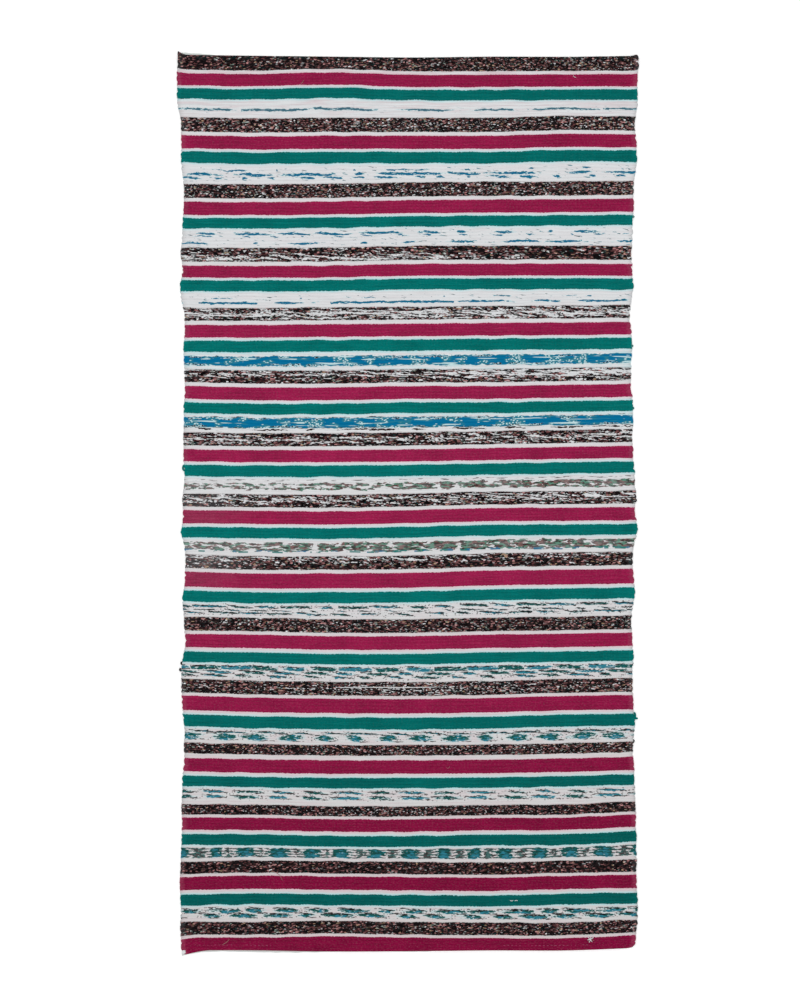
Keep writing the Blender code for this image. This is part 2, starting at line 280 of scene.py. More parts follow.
def stripe_list():
    """Every stripe from the top hem down, with the number of its first pick and its neighbours."""
    edges = [repeat.y + np.array(repeat.rise, float) for repeat in REPEATS]
    found = []
    upper = TOP_END
    for index, (repeat, crimson_top) in enumerate(zip(REPEATS, edges)):
        crimson_bottom = crimson_top - repeat.crimson
        found.append(("speckled", index, upper, crimson_top + repeat.over))
        found.append(("white", index, crimson_top + repeat.over, crimson_top))
        if index == len(REPEATS) - 1:
            found.append(("crimson", index, crimson_top, BOTTOM_END))
            break
        green_top = crimson_bottom - repeat.under
        green_bottom = green_top - repeat.green
        upper = edges[index + 1] + REPEATS[index + 1].over + REPEATS[index + 1].speckled
        found.append(("crimson", index, crimson_top, crimson_bottom))
        found.append(("white", index, crimson_bottom, green_top))
        found.append(("green", index, green_top, green_bottom))
        found.append(("printed", index, green_bottom, upper))
    yarns = [None] + [row[0] for row in found] + [None]
    first = np.cumsum([0] + [PICKS[row[0]] for row in found])
    return [Stripe(*row, first[i], yarns[i], yarns[i + 2]) for i, row in enumerate(found)]


def end_line(end):
    """The heights of the rug's top end (1) or its bottom end (-1)."""
    return TOP_END if end > 0 else BOTTOM_END


def selvage_line(stripes, side, heights):
    """How far a selvage stands out at these heights, straight from one stripe's middle to the next."""
    name, column = ("left", 0) if side < 0 else ("right", -1)
    stated = [stripe for stripe in stripes if stripe.yarn != "white"]
    middles = np.array([(stripe.upper[column] + stripe.lower[column]) / 2 for stripe in stated])
    outs = np.array([value for row in SELVAGES for value in getattr(row, name)], float)
    upwards = np.argsort(middles)
    return np.interp(heights[:, column], middles[upwards], outs[upwards])


def corner_inset(radius, gap):
    """How far a rounded corner draws a selvage in, at this distance from the end of the rug."""
    inside = np.clip(radius - gap, 0.0, radius)
    return radius - np.sqrt(radius**2 - inside**2)


def selvages(w, stripes, heights, turns):
    """The left and right selvage at rows of heights. turns counts picks down the rug. Each turn of the
    weft joins two picks, and stands out as one round bump over them: the square root of a sine."""
    lines = {}
    for side, column, shift, seed in ((-1, 0, 1, 11), (1, -1, 0, 12)):
        arch = np.sqrt(np.abs(np.sin(np.pi * (turns + shift) / 2)))
        uneven = 0.6 + 0.4 * wander(0.0, turns, seed, 1.0, 9.0)
        jag = w.jag * wander(0.0, turns, seed + 2, 1.0, 1.7)
        out = w.half_width - w.scallop_seat + selvage_line(stripes, side, heights)
        out = out + w.scallop * arch * uneven + jag
        for corner in CORNERS:
            if corner.side == side:
                gap = np.abs(end_line(corner.end)[column] - heights[:, column])
                out = out - corner_inset(corner.radius, gap)
        lines[side] = side * out
    return lines[-1], lines[1]


def corner_lift(gap_left, gap_right, gap_top, gap_bottom):
    """How far the corners' tips pull the cloth out of its end, as a smooth peak at each corner."""
    lift = 0.0
    for corner in CORNERS:
        gap_side = gap_left if corner.side < 0 else gap_right
        gap_end = gap_top if corner.end > 0 else gap_bottom
        near = np.clip(1 - gap_side / corner.reach, 0, 1) * np.clip(1 - gap_end / corner.depth, 0, 1)
        lift = lift + corner.end * corner.lift * near**1.5
    return lift


def hem_layer(w, gap):
    """The height of the turned-under layer at this distance from the fold: a smooth step to nothing."""
    share = np.clip((w.hem_depth + w.hem_ease - gap) / (2 * w.hem_ease), 0.0, 1.0)
    return w.hem_layer * share * share * (3 - 2 * share)


BLUNT_EDGE = 0.12  # the share of the thickness that is left at the cloth's very edge


def rounded(gap, radius):
    """The share of the thickness left at this distance from an outline with an edge of this radius."""
    short = 1 - np.clip(gap / radius, 0.0, 1.0)
    return np.maximum(np.sqrt(1 - short**2), BLUNT_EDGE)


def waves(x, y):
    """The slow rises and falls of the cloth: the sum of a few sines."""
    return sum(
        wave.height * np.sin(2 * np.pi * (x / wave.along_x + y / wave.along_y) + wave.phase)
        for wave in WAVES
    )


SQUARENESS = 2.6  # the flattened round of a rib: 2 is an ellipse, and more is flatter
PLUMPNESS = 0.22  # how unevenly high the ribs are, as a share of their height
EVEN_END = 12.0  # how far in from the ends the picks still run evenly

# Rows of a pick from one groove to the next, as shares of the pick, and the columns of the cloth:
# close together at the selvages, where it is rounded over, and even between them.
RIB_ROWS = np.array([0.0, 0.18, 0.5, 0.82])
SELVAGE_COLUMNS = np.array([0.0, 0.35, 1.0, 2.1, 3.6])
MIDDLE_COLUMNS = 138
COLUMN_SHARE = np.pad(
    np.linspace(0, 1, MIDDLE_COLUMNS + 2)[1:-1], len(SELVAGE_COLUMNS), constant_values=(0.0, 1.0)
)
COLUMN_INSET = np.concatenate([SELVAGE_COLUMNS, np.zeros(MIDDLE_COLUMNS), -SELVAGE_COLUMNS[::-1]])


def cloth_height(w, x, gap_end, y):
    """The heights of the cloth's top and underside where it has no ribs."""
    layer = hem_layer(w, gap_end)
    dip = w.stitch_trough * np.exp(-(((gap_end - w.stitch_inset) / w.stitch_spread) ** 2))
    return w.groove + layer - dip + waves(x, y), layer


# How loosely each yarn lies: an edge wanders by the mean of the two stripes' figures, times the wobble.
LOOSE = {None: 0.0, "speckled": 1.6, "white": 1.7, "crimson": 1.3, "green": 2.3, "printed": 2.3}

SELVAGE_WEAR_AND_SHADE = 9.0  # how far in from a selvage the colours show wear, and the white stripes a painted shade

# The stripes whose colour shows at a stripe's edge.
NEIGHBOURS = {
    "crimson": ("crimson",),
    "green": ("green",),
    "speckled": ("speckled",),
    "white": ("white", "printed"),
}


def dyes_near(w, stripe, down, depth):
    """How near each yarn's dye is at these distances from a stripe's upper edge: 1 at the edge that the
    stripe shares with that yarn, and 0 where the dye stops."""
    near = {}
    for yarn, neighbours in NEIGHBOURS.items():
        reach = np.zeros_like(down)
        if stripe.above in neighbours:
            reach = np.maximum(reach, 1 - down / w.bleed)
        if stripe.below in neighbours:
            reach = np.maximum(reach, 1 - (depth - down) / w.bleed)
        near[f"{yarn}_near"] = reach
    return near


def stripe_surface(w, stripes, stripe):
    """One stripe as a closed band: points, and values for its finish, as arrays of columns by ring.

    The ring runs over the ribs of the top from the stripe's upper edge to its lower one, and back over
    the ribs of the underside. A rib is a flattened round: (1 - |t|^n)^(1/n) for t from -1 to 1 over the
    pick, and a narrow pick, being of thinner rag, has a lower one.
    """
    picks = PICKS[stripe.yarn]
    depth = float((stripe.upper - stripe.lower).mean())
    share = min(depth / picks / w.full_pick, 1.0)
    places = np.append((np.arange(picks)[:, None] + RIB_ROWS).ravel(), picks)
    heights = stripe.upper + (stripe.lower - stripe.upper) * places[:, None] / picks
    turns = stripe.first_pick + places
    left, right = selvages(w, stripes, heights, turns)
    x = left[:, None] + (right - left)[:, None] * COLUMN_SHARE + COLUMN_INSET
    y = across(x, heights)
    ends = [across(x, np.tile(end, (len(heights), 1))) for end in (TOP_END, BOTTOM_END)]
    gap_top, gap_bottom = ends[0] - y, y - ends[1]
    gap_end = np.minimum(gap_top, gap_bottom)
    gap_left, gap_right = x - left[:, None], right[:, None] - x
    gap_side = np.minimum(gap_left, gap_right)
    t = 2 * (places % 1.0) - 1
    rib = np.maximum(1 - np.abs(t) ** SQUARENESS, 0.0) ** (1 / SQUARENESS)
    top, layer = cloth_height(w, x, gap_end, y)
    plump = 1 + PLUMPNESS * wander(x, np.floor(turns)[:, None] * 3.7, 5, 160.0, 9.0)
    top = top + share * (w.crest - w.groove) * (rib[:, None] * plump)
    under = layer + w.under_rib * (1 - share * rib[:, None])
    edge = rounded(gap_side, w.edge_round) * rounded(gap_end, w.edge_round)
    middle = (top + under) / 2
    top, under = middle + (top - middle) * edge, middle + (under - middle) * edge
    own, over, below = (LOOSE[yarn] for yarn in (stripe.yarn, stripe.above, stripe.below))
    loose = (own + over + (below - over) * places / picks) / 2
    wobble = w.wobble * loose[:, None] * wander(x, y, 3, 75.0, 40.0)
    y = y + wobble * np.clip(gap_end / EVEN_END, 0, 1)
    y = y + corner_lift(gap_left, gap_right, gap_top, gap_bottom)
    face, back = (np.stack([x, y, z], axis=2) for z in (top, under))
    points = np.concatenate([face, back[::-1]]).transpose(1, 0, 2)
    both = np.concatenate([places, places[::-1]])
    values = {"turns": stripe.first_pick + both, "depth": both / picks}
    values.update(dyes_near(w, stripe, both / picks * depth, depth))
    values = {name: np.tile(value, (len(points), 1)) for name, value in values.items()}
    # nearness to a selvage: it sets the wear of the colours there and the white stripes' painted shade
    wear_and_painted_light = np.clip(1 - gap_side / SELVAGE_WEAR_AND_SHADE, 0.0, 1.0)
    values["selvage"] = np.concatenate([wear_and_painted_light, wear_and_painted_light[::-1]]).T
    width = float((right - left).mean())
    return points, values, width


def band_faces(columns, ring):
    """Quads between the rings of a closed band, then the ladders of quads that close its two ends."""
    column, step = np.meshgrid(np.arange(columns - 1), np.arange(ring), indexing="ij")
    here = column * ring + step
    after = column * ring + (step + 1) % ring
    tube = np.stack([here, after, after + ring, here + ring], axis=-1).reshape(-1, 4)
    rung = np.arange(ring // 2 - 1)
    near = np.stack([rung, ring - 1 - rung, ring - 2 - rung, rung + 1], axis=-1)
    far = (near + (columns - 1) * ring)[:, ::-1]
    return np.concatenate([tube, near, far])


CAP_STRIP = 0.004  # the share of the map's width that the closed end of a band takes
STRIP_GAP = 0.03  # how much of a band's strip of the map is left free on either side of it


def band_map(columns, ring, slot, slots):
    """Map places for the corners of band_faces: one level strip of the map for each band."""
    u = np.linspace(CAP_STRIP, 1 - CAP_STRIP, columns)
    v = (slot + STRIP_GAP + (1 - 2 * STRIP_GAP) * np.arange(ring + 1) / ring) / slots
    column, step = np.meshgrid(np.arange(columns - 1), np.arange(ring), indexing="ij")
    tube_u = np.stack([u[column], u[column], u[column + 1], u[column + 1]], axis=-1)
    tube_v = np.stack([v[step], v[step + 1], v[step + 1], v[step]], axis=-1)
    rung = np.arange(ring // 2 - 1)
    ones = np.ones(len(rung))
    near_u = np.stack([CAP_STRIP * ones, 0 * ones, 0 * ones, CAP_STRIP * ones], axis=-1)
    near_v = np.stack([v[rung], v[rung], v[rung + 1], v[rung + 1]], axis=-1)
    flat_u = np.concatenate([tube_u.reshape(-1, 4), near_u, 1 - near_u[:, ::-1]])
    flat_v = np.concatenate([tube_v.reshape(-1, 4), near_v, near_v[:, ::-1]])
    return np.stack([flat_u, flat_v], axis=-1).reshape(-1, 2)


def face_rows(picks, columns):
    """The row that each face of band_faces lies in, on either side, from the stripe's upper edge."""
    rows = len(RIB_ROWS) * picks
    top = np.arange(rows)
    ring = np.concatenate([top, [rows - 1], top[::-1], [0]])
    return np.concatenate([np.tile(ring, columns - 1), top, top])


SHARP_ANGLE = np.radians(62)  # two faces at more than this angle meet at a sharp edge


def add_values(mesh, domain, values):
    """Keeps named values for the finish on a mesh's points or faces."""
    for name, value in values.items():
        layer = mesh.attributes.new(name, "FLOAT", domain)
        layer.data.foreach_set("value", value.astype(np.float32))


def add_mesh(name, points, faces, sharp=True):
    """A smooth mesh object on the rug's body, from its points in millimetres and its faces."""
    mesh = bpy.data.meshes.new(name)
    mesh.from_pydata(points * MM, [], faces)
    mesh.shade_smooth()
    if sharp:
        mesh.set_sharp_from_angle(angle=SHARP_ANGLE)
    piece = bpy.data.objects.new(name, mesh)
    bpy.context.scene.collection.objects.link(piece)
    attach(piece, "root")
    return piece


def weave(w, name, yarn, repeats, face_table=None):
    """One piece: every stripe of a yarn in these repeats, as closed bands along the rug's outline. The
    face table holds values for each repeat and row of faces."""
    stripes = stripe_list()
    chosen = [stripe for stripe in stripes if stripe.yarn == yarn and stripe.repeat in repeats]
    columns, picks = len(COLUMN_SHARE), PICKS[yarn]
    ring = 2 * (len(RIB_ROWS) * picks + 1)
    surfaces = [stripe_surface(w, stripes, stripe) for stripe in chosen]
    points = np.concatenate([surface[0].reshape(-1, 3) for surface in surfaces])
    values = {key: np.concatenate([s[1][key].ravel() for s in surfaces]) for key in surfaces[0][1]}
    each = band_faces(columns, ring)
    faces = np.concatenate([each + i * columns * ring for i in range(len(chosen))])
    row = face_rows(picks, columns)
    pick = row // len(RIB_ROWS)
    face_values = {"pick": np.concatenate([stripe.first_pick + pick for stripe in chosen])}
    for key, table in (face_table or {}).items():
        face_values[key] = np.concatenate([table[stripe.repeat][row] for stripe in chosen])
    uv = np.concatenate([band_map(columns, ring, i, len(chosen)) for i in range(len(chosen))])
    piece = add_mesh(name, points, faces.tolist())
    add_values(piece.data, "POINT", values)
    add_values(piece.data, "FACE", face_values)
    layer = piece.data.uv_layers.new(name="OFBake")
    layer.uv.foreach_set("vector", uv.astype(np.float32).ravel())
    depth = sum(float((stripe.upper - stripe.lower).mean()) for stripe in chosen)
    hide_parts("woven_cloth")
    return piece


# ---------------------------------------------------------------- what the faces hold for the finishes


def even_rows(yarn, figures):
    """One figure for each repeat, as a value for each row of faces of that yarn's stripe."""
    return np.repeat(np.array(figures, float)[:, None], PICKS[yarn] * len(RIB_ROWS), axis=1)


def speckle_table():
    """How streaky each row of faces of a speckled stripe is and where its streaks are, by repeat."""
    names = ("streaks", "bed", "dark")
    return {name: even_rows("speckled", [getattr(row, name) for row in SPECKLES]) for name in names}


def paleness():
    """How pale each point of the speckled stripes is: straight from one stated place to the next."""
    ring = 2 * (len(RIB_ROWS) * PICKS["speckled"] + 1)
    stated = [(row.left, row.middle, row.right) for row in SPECKLES]
    lines = [np.interp(COLUMN_SHARE, PALE_PLACES, figures) for figures in stated]
    return np.concatenate([np.repeat(line, ring) for line in lines])


def leaf_table():
    """How dense the leaf print is on each row of faces, and whether teal follows its lower edge."""
    return {
        "dense": even_rows("printed", [LEAF_DENSITY.get(repeat, 0.0) for repeat in ALL_REPEATS]),
        "teal_edge": even_rows("printed", [repeat == TEAL_REPEAT for repeat in ALL_REPEATS]),
    }


def block_table(inks):
    """The rows of ink, with the colour that each stripe starts with and the stripe that is crossed."""
    return {
        **inks,
        "repeat_turn": even_rows("printed", [repeat % 2 for repeat in ALL_REPEATS]),
        "grid": even_rows("printed", [repeat == GRID_REPEAT for repeat in ALL_REPEATS]),
    }


INK_MARGIN = 0.7  # how far past its edges, in picks, a row of ink can still have ragged parts


def dash_table():
    """For each row of faces of a printed stripe, the columns of the row of ink nearest to it, the
    middle and half the depth of that ink in picks, and the repeat. fill is 0 where no ink is near.
    The first length and half are there for the stripes that hold no ink."""
    rows = PICKS["printed"] * len(RIB_ROWS)
    edges = np.append((np.arange(PICKS["printed"])[:, None] + RIB_ROWS).ravel(), PICKS["printed"])
    middles = (edges[:-1] + edges[1:]) / 2
    drawn = Dash._fields[3:]
    table = {name: np.zeros((len(REPEATS), rows)) for name in (*drawn, "centre", "half", "repeat")}
    table["length"] += 50.0
    table["half"] += 1.0
    starts = {stripe.repeat: stripe.first_pick for stripe in stripe_list() if stripe.yarn == "printed"}
    for repeat, first in starts.items():
        table["repeat"][repeat] = repeat
        inks = [ink for ink in DASHES if ink.repeat == repeat]
        if not inks:
            continue
        centres = np.array([(ink.top + ink.bottom) / 2 for ink in inks])
        halves = np.array([(ink.bottom - ink.top) / 2 for ink in inks])
        gaps = np.abs(middles - centres[:, None]) - halves[:, None]
        nearest = gaps.argmin(axis=0)
        for name in drawn:
            table[name][repeat] = np.array([getattr(ink, name) for ink in inks], float)[nearest]
        table["centre"][repeat] = first + centres[nearest]
        table["half"][repeat] = halves[nearest]
        table["fill"][repeat] *= gaps.min(axis=0) < INK_MARGIN
    return table


# ---------------------------------------------------------------- finishes


class Value:
    """One output of a shader node. Arithmetic on it adds Math nodes to its tree."""

    def __init__(self, tree, output):
        self.tree = tree
        self.output = output

    def sibling(self, output):
        """Another output of the same node."""
        return Value(self.tree, self.output.node.outputs[output])

    def maths(self, operation, *values):
        return add_node(self.tree, "ShaderNodeMath", {"operation": operation}, dict(enumerate(values)))

    def __add__(self, other):
        return self.maths("ADD", self, other)

    __radd__ = __add__

    def __sub__(self, other):
        return self.maths("SUBTRACT", self, other)

    def __rsub__(self, other):
        return self.maths("SUBTRACT", other, self)

    def __mul__(self, other):
        return self.maths("MULTIPLY", self, other)

    __rmul__ = __mul__

    def __truediv__(self, other):
        return self.maths("DIVIDE", self, other)

    def __pow__(self, other):
        return self.maths("POWER", self, other)

    def __abs__(self):
        return self.maths("ABSOLUTE", self)

    def floor(self):
        return self.maths("FLOOR", self)

    def fraction(self):
        return self.maths("FRACT", self)

    def greater(self, other):
        return self.maths("MAXIMUM", self, other)

    def lesser(self, other):
        return self.maths("MINIMUM", self, other)

    def sine(self):
        return self.maths("SINE", self)


def opaque(colour):
    """A colour for a socket: a node's output as it is, or three numbers with an alpha of one."""
    return colour if isinstance(colour, Value) else (*colour, 1.0)


def set_stops(ramp, stops):
    """Puts places and their colours on a ramp, which steps from one to the next with no blend."""
    ramp.interpolation = "CONSTANT"
    while len(ramp.elements) < len(stops):
        ramp.elements.new(1.0)
    for element, (place, colour) in zip(ramp.elements, stops):
        element.position = place
        element.color = opaque(colour)


def add_node(tree, kind, settings, sockets, output=0):
    """A shader node: its settings first, a ramp's stops among them, then the value or link of each
    named or numbered socket."""
    node = tree.nodes.new(kind)
    for name, setting in settings.items():
        if name == "stops":
            set_stops(node.color_ramp, setting)
        else:
            setattr(node, name, setting)
    for name, value in sockets.items():
        socket = node.inputs[name]
        if isinstance(value, Value):
            tree.links.new(value.output, socket)
        else:
            socket.default_value = value
    return Value(tree, node.outputs[output])


class Finish:
    """A cloth material under construction, with the places and patterns that the finishes share."""

    def __init__(self, name, roughness=0.9):
        self.material = bpy.data.materials.new(name)
        self.material.use_nodes = True
        self.tree = self.material.node_tree
        self.shader = self.tree.nodes["Principled BSDF"]
        self.shader.inputs["Roughness"].default_value = roughness
        self.shader.inputs["Specular IOR Level"].default_value = 0.0
        place = self.node("ShaderNodeTexCoord", {}, {}, "Object")
        parts = self.node("ShaderNodeVectorMath", {"operation": "SCALE"}, {0: place, "Scale": 1 / MM})
        split = self.node("ShaderNodeSeparateXYZ", {}, {0: parts})
        self.x, self.y, self.z = (split.sibling(axis) for axis in "XYZ")

    def node(self, kind, settings, sockets, output=0):
        return add_node(self.tree, kind, settings, sockets, output)

    def attribute(self, name):
        return self.node("ShaderNodeAttribute", {"attribute_name": name}, {}, "Fac")

    def point(self, x, y, z=0.0):
        return self.node("ShaderNodeCombineXYZ", {}, {0: x, 1: y, 2: z})

    def noise(self, x, y, seed=0.0, detail=2.0, rough=0.5):
        """Smooth noise about 0.5, one unit across in each direction. Each seed gives another pattern."""
        sockets = {"Vector": self.point(x, y, seed), "Scale": 1.0, "Detail": detail, "Roughness": rough}
        return self.node("ShaderNodeTexNoise", {}, sockets, "Fac")

    def step(self, value, low, high):
        """0 below low and 1 above high, smoothly between."""
        sockets = {"Value": value, "From Min": low, "From Max": high}
        return self.node("ShaderNodeMapRange", {"interpolation_type": "SMOOTHSTEP"}, sockets)

    def until(self, value, low, high):
        """1 below low and 0 above high, smoothly between."""
        return 1 - self.step(value, low, high)

    def band(self, value, middle, near, far):
        """1 within near of the middle and 0 from far on, smoothly between."""
        return self.until(abs(value - middle), near, far)

    def patches(self, x, y, seed, low, high, detail=2.0):
        """1 in patches and 0 between them: noise that changes over from low to high."""
        return self.step(self.noise(x, y, seed, detail), low, high)

    def mix(self, share, first, second):
        """The first colour where share is 0 and the second where it is 1."""
        sockets = {0: share, 6: opaque(first), 7: opaque(second)}
        return self.node("ShaderNodeMix", {"data_type": "RGBA"}, sockets, 2)

    def scale(self, colour, factor):
        """A colour made darker or lighter by a factor."""
        return self.node("ShaderNodeVectorMath", {"operation": "SCALE"}, {0: colour, "Scale": factor})

    def finish(self, colour, height):
        """Sets the colour, and a bump whose height is given in millimetres."""
        sockets = {"Height": height, "Distance": MM, "Strength": 1.0}
        bump = self.node("ShaderNodeBump", {}, sockets)
        self.tree.links.new(colour.output, self.shader.inputs["Base Color"])
        self.tree.links.new(bump.output, self.shader.inputs["Normal"])
        return self.material


WARP_PITCH = 4.6  # from one warp to the next, under the weft

# How high the relief on a pick is: its swelling between the warps, the rag's creases and its thread.
SWELL = 0.05
CREASE = 0.20
THREAD = 0.05


def pick_relief(f):
    """Heights in millimetres over a pick: it swells between the warps, turn about with the next pick,
    and the rag in it is creased along its length and has a fine thread of its own."""
    pick = f.attribute("pick")
    side = f.attribute("turns") - pick
    drift = f.noise(f.x / 30, pick * 3.1, detail=1.0)
    swell = ((f.x / WARP_PITCH + pick + drift * 1.5) * np.pi).sine()
    swell = swell * (side * (1 - side) * 4).greater(0.0)
    crease = f.noise(f.x / 14, f.y / 1.1, pick * 5.3, detail=3.0)
    thread = f.noise(f.x / 0.5, f.y / 0.35, detail=1.0)
    return SWELL * swell + CREASE * crease + THREAD * thread


def mottle(f, strength):
    """A tone about 1: streaks along the pick, a slow change over the cloth, the warps' trace, grain."""
    streak = f.noise(f.x / 30, f.y / 2.0, f.attribute("pick") * 7.7)
    slow = f.noise(f.x / 45, f.y / 45, 3.0, detail=1.0)
    warp = f.noise(f.x / 2.6, f.y / 16, 8.0, detail=1.0)
    grain = f.noise(f.x / 2.1, f.y / 1.8, 10.0, detail=1.0)
    tone = (streak - 0.5) * 1.5 + (slow - 0.5) * 0.9 + (warp - 0.5) * 0.8 + (grain - 0.5) * 1.3
    return 1 + strength * tone


def linted(f, colour, amount, lint):
    """Fine pale lint over a colour, in specks longer along the pick than across it."""
    return f.mix(f.patches(f.x / 2.6, f.y / 2.0, 2.0, 0.42, 0.78, detail=1.0) * amount, colour, lint)


def brightened(f, x, y, radius, amount):
    """How much a painted glare brightens the cloth: a round patch, uneven at its edge."""
    away = (((f.x - x) ** 2 + (f.y - y) ** 2) ** 0.5) / radius
    away = away + (f.noise(f.x / 18, f.y / 18, 5.0) - 0.5) * 0.9
    return amount * f.until(away, 0.35, 1.35)


GLARE = (-335.0, -60.0, 95.0)  # the middle of the painted glare at the left selvage, and its radius


def darkening(f):
    """How much darker the cloth is: most at the bottom hem, a little at the top hem and the right
    selvage.
    """
    low = f.step(f.y, -60.0, -650.0)
    return low + 0.32 * f.step(f.y, 170.0, 690.0) + 0.16 * f.step(f.x, 20.0, 340.0)


def at_selvage(f):
    """How much wear the cloth shows at its selvages: 1 for the first half of the strip along them, then
    less.
    """
    return f.step(f.attribute("selvage"), 0.1, 0.5)


def toothed(f, near, colour, other, side):
    """A colour with its neighbour's at a ragged edge. side is 1 in the white stripes and -1 in the
    others, so that the colour's tooth in the one is missing from the other."""
    tooth = (f.noise(f.x / 2.8, f.y / 10, 27.0, rough=0.6) - 0.5) * side
    return f.mix(f.step(near + tooth, 0.97, 1.04), colour, other)


def crimson_finish(colours):
    """Crimson rag, darker towards the bottom hem, paler with wear at the selvages and with a painted
    glare near the left one, with white lint.
    """
    f = Finish("crimson_weft")
    base = f.mix(darkening(f), colours.crimson, colours.crimson_deep)
    # wear at the selvages and a painted glare near the left selvage make the crimson paler
    wear_and_painted_light = brightened(f, *GLARE, 0.75).greater(at_selvage(f) * 0.7)
    base = f.mix(wear_and_painted_light, base, colours.crimson_faded)
    base = f.scale(base, mottle(f, 0.46))
    base = linted(f, base, 0.034, colours.white)
    base = toothed(f, f.attribute("white_near"), base, colours.rose_bleed, -1)
    return f.finish(base, pick_relief(f))


def green_finish(colours):
    """Green rag, darker towards the bottom hem, with a little white lint."""
    f = Finish("green_weft")
    base = f.mix(darkening(f), colours.green, colours.green_deep)
    base = f.scale(base, mottle(f, 0.38) + 0.10 * at_selvage(f))
    base = linted(f, base, 0.012, colours.white)
    base = toothed(f, f.attribute("white_near"), base, colours.aqua_bleed, -1)
    return f.finish(base, pick_relief(f))


def white_cloth(f, colours):
    """The white rag's colour: streaks of grey and rose, the rose ones strongest near the ends of the
    rug, darker towards the lower hem, at its edges the dye and the teeth of its neighbours, and painted
    shade at the selvages."""
    pick = f.attribute("pick")
    # the white is darker towards the lower hem
    lower = f.node("ShaderNodeMapRange", {}, {"Value": f.y, "From Min": 150.0, "From Max": -700.0})
    base = f.mix(lower, colours.white, colours.white_deep)
    greyed = f.patches(f.x / 44, f.y / 2.2, pick * 4.1, 0.48, 0.80)
    base = f.mix(greyed * 0.40, base, colours.white_grey)
    dyed = 0.16 + 0.54 * f.step(f.y, 570.0, 640.0) + 0.32 * f.step(f.y, -40.0, -300.0)
    rosy = f.patches(f.x / 46, f.y / 3.2, pick * 2.9, 0.42, 0.64)
    base = f.mix(rosy * dyed, base, colours.white_rose)
    ragged = f.noise(f.x / 5, f.y / 4, 2.0) * 1.6
    crimson, green = f.attribute("crimson_near"), f.attribute("green_near")
    speckled = f.attribute("speckled_near")
    base = f.mix((crimson * ragged * 0.56).lesser(0.6), base, colours.rose_bleed)
    base = f.mix((green * ragged * 0.95).lesser(0.85), base, colours.aqua_bleed)
    base = f.mix((speckled * speckled * ragged * 0.22).lesser(0.3), base, colours.rose)
    base = toothed(f, crimson, base, colours.crimson, 1)
    base = toothed(f, green, base, colours.green, 1)
    base = toothed(f, speckled, base, colours.umber, 1)
    # painted shade darkens the white towards the selvages
    shaded = 0.25 * f.attribute("selvage") ** 2
    return f.scale(base, mottle(f, 0.06) - shaded)


def white_finish(colours):
    """White rag with nothing printed on it."""
    f = Finish("white_weft")
    return f.finish(white_cloth(f, colours), pick_relief(f))


def speckled_finish(colours):
    """Black rag with flecks of many colours, crossed in places by white streaks that lean a little."""
    f = Finish("speckled_weft", roughness=0.93)
    streaks, pale, depth = f.attribute("streaks"), f.attribute("pale"), f.attribute("depth")
    lean = f.y + (0.045 * f.x + (f.noise(f.x / 40, f.y / 14, 4.0) - 0.5) * 9) * streaks
    bend_x = (f.noise(f.x / 5, f.y / 4, 1.0) - 0.5) * 3.0
    bend_y = (f.noise(f.x / 6, f.y / 4, 9.0) - 0.5) * 1.8
    long = (f.x + bend_x) / (2.8 + 1.0 * streaks)
    cell = {"Vector": f.point(long, (lean + bend_y) / 1.5), "Scale": 1.0, "Randomness": 1.0}
    random = f.node("ShaderNodeTexVoronoi", {"voronoi_dimensions": "2D"}, cell, "Color")
    kind = f.node("ShaderNodeSeparateColor", {}, {0: random}, "Red")
    tone = kind.sibling("Green")
    clump = f.noise(f.x / 17, f.y / 9, 19.0)
    stops = (
        (0.00, colours.black),
        (0.50, colours.umber),
        (0.61, colours.dark_teal),
        (0.65, colours.brick),
        (0.75, colours.mauve),
        (0.85, colours.rose),
        (0.91, colours.tan),
        (0.94, colours.sage_grey),
        (0.97, colours.white_grey),
    )
    chance = kind + (clump - 0.5) * 0.26 - f.attribute("dark")
    flecked = f.node("ShaderNodeValToRGB", {"stops": stops}, {0: chance}, "Color")
    flecked = f.scale(flecked, 0.27 + 1.34 * tone)
    glints = dots(f, 9.0, 4.4, 0.18, 9.0) * f.patches(f.x / 16, f.y / 9, 27.0, 0.55, 0.60)
    flecked = f.mix(glints * 0.6, flecked, colours.white_grey)
    streak = f.noise(f.x / 30, lean / 3.0, 6.0, detail=3.0, rough=0.6)
    fine = f.noise(f.x / 4.2, lean / 1.9, 12.0)
    where = (streak * 0.67 + fine * 0.33) * streaks + fine * (1 - streaks)
    level = pale + (0.16 - abs(depth - f.attribute("bed")) * 0.5) * streaks
    white = f.step(where + (level - 0.5) * 0.34, 0.487, 0.507) * f.step(pale, 0.0, 0.04)
    streaked = f.mix(streaks * 0.75, colours.white_grey, colours.white)
    colour = f.mix(white, flecked, streaked)
    # wear at the selvages and a painted glare near the left selvage grey the flecks
    wear_and_painted_light = brightened(f, *GLARE, 0.09).greater(at_selvage(f) * 0.04)
    colour = f.mix(wear_and_painted_light, colour, colours.white_grey)
    colour = f.scale(colour, mottle(f, 0.18))
    sheared = f.step(f.y, 683.0, 686.0) * f.patches(f.x / 34, 1.0, 25.0, 0.48, 0.56)
    colour = f.mix(sheared * 0.55, colour, colours.dark_teal)
    colour = toothed(f, f.attribute("white_near"), colour, colours.white_grey, -1)
    return f.finish(colour, pick_relief(f))


def dots(f, width, height, radius, seed):
    """Dots, one somewhere in each cell of width by height and as drawn out as the cell: 1 in a dot and
    0 between them. The radius is a share of the cell."""
    place = {"Vector": f.point(f.x / width + seed, f.y / height), "Scale": 1.0, "Randomness": 1.0}
    away = f.node("ShaderNodeTexVoronoi", {"voronoi_dimensions": "2D"}, place, "Distance")
    return f.until(away, radius - 0.03, radius + 0.03)


NO_INK = 9.0  # how far outside the ink a place counts where its row has none


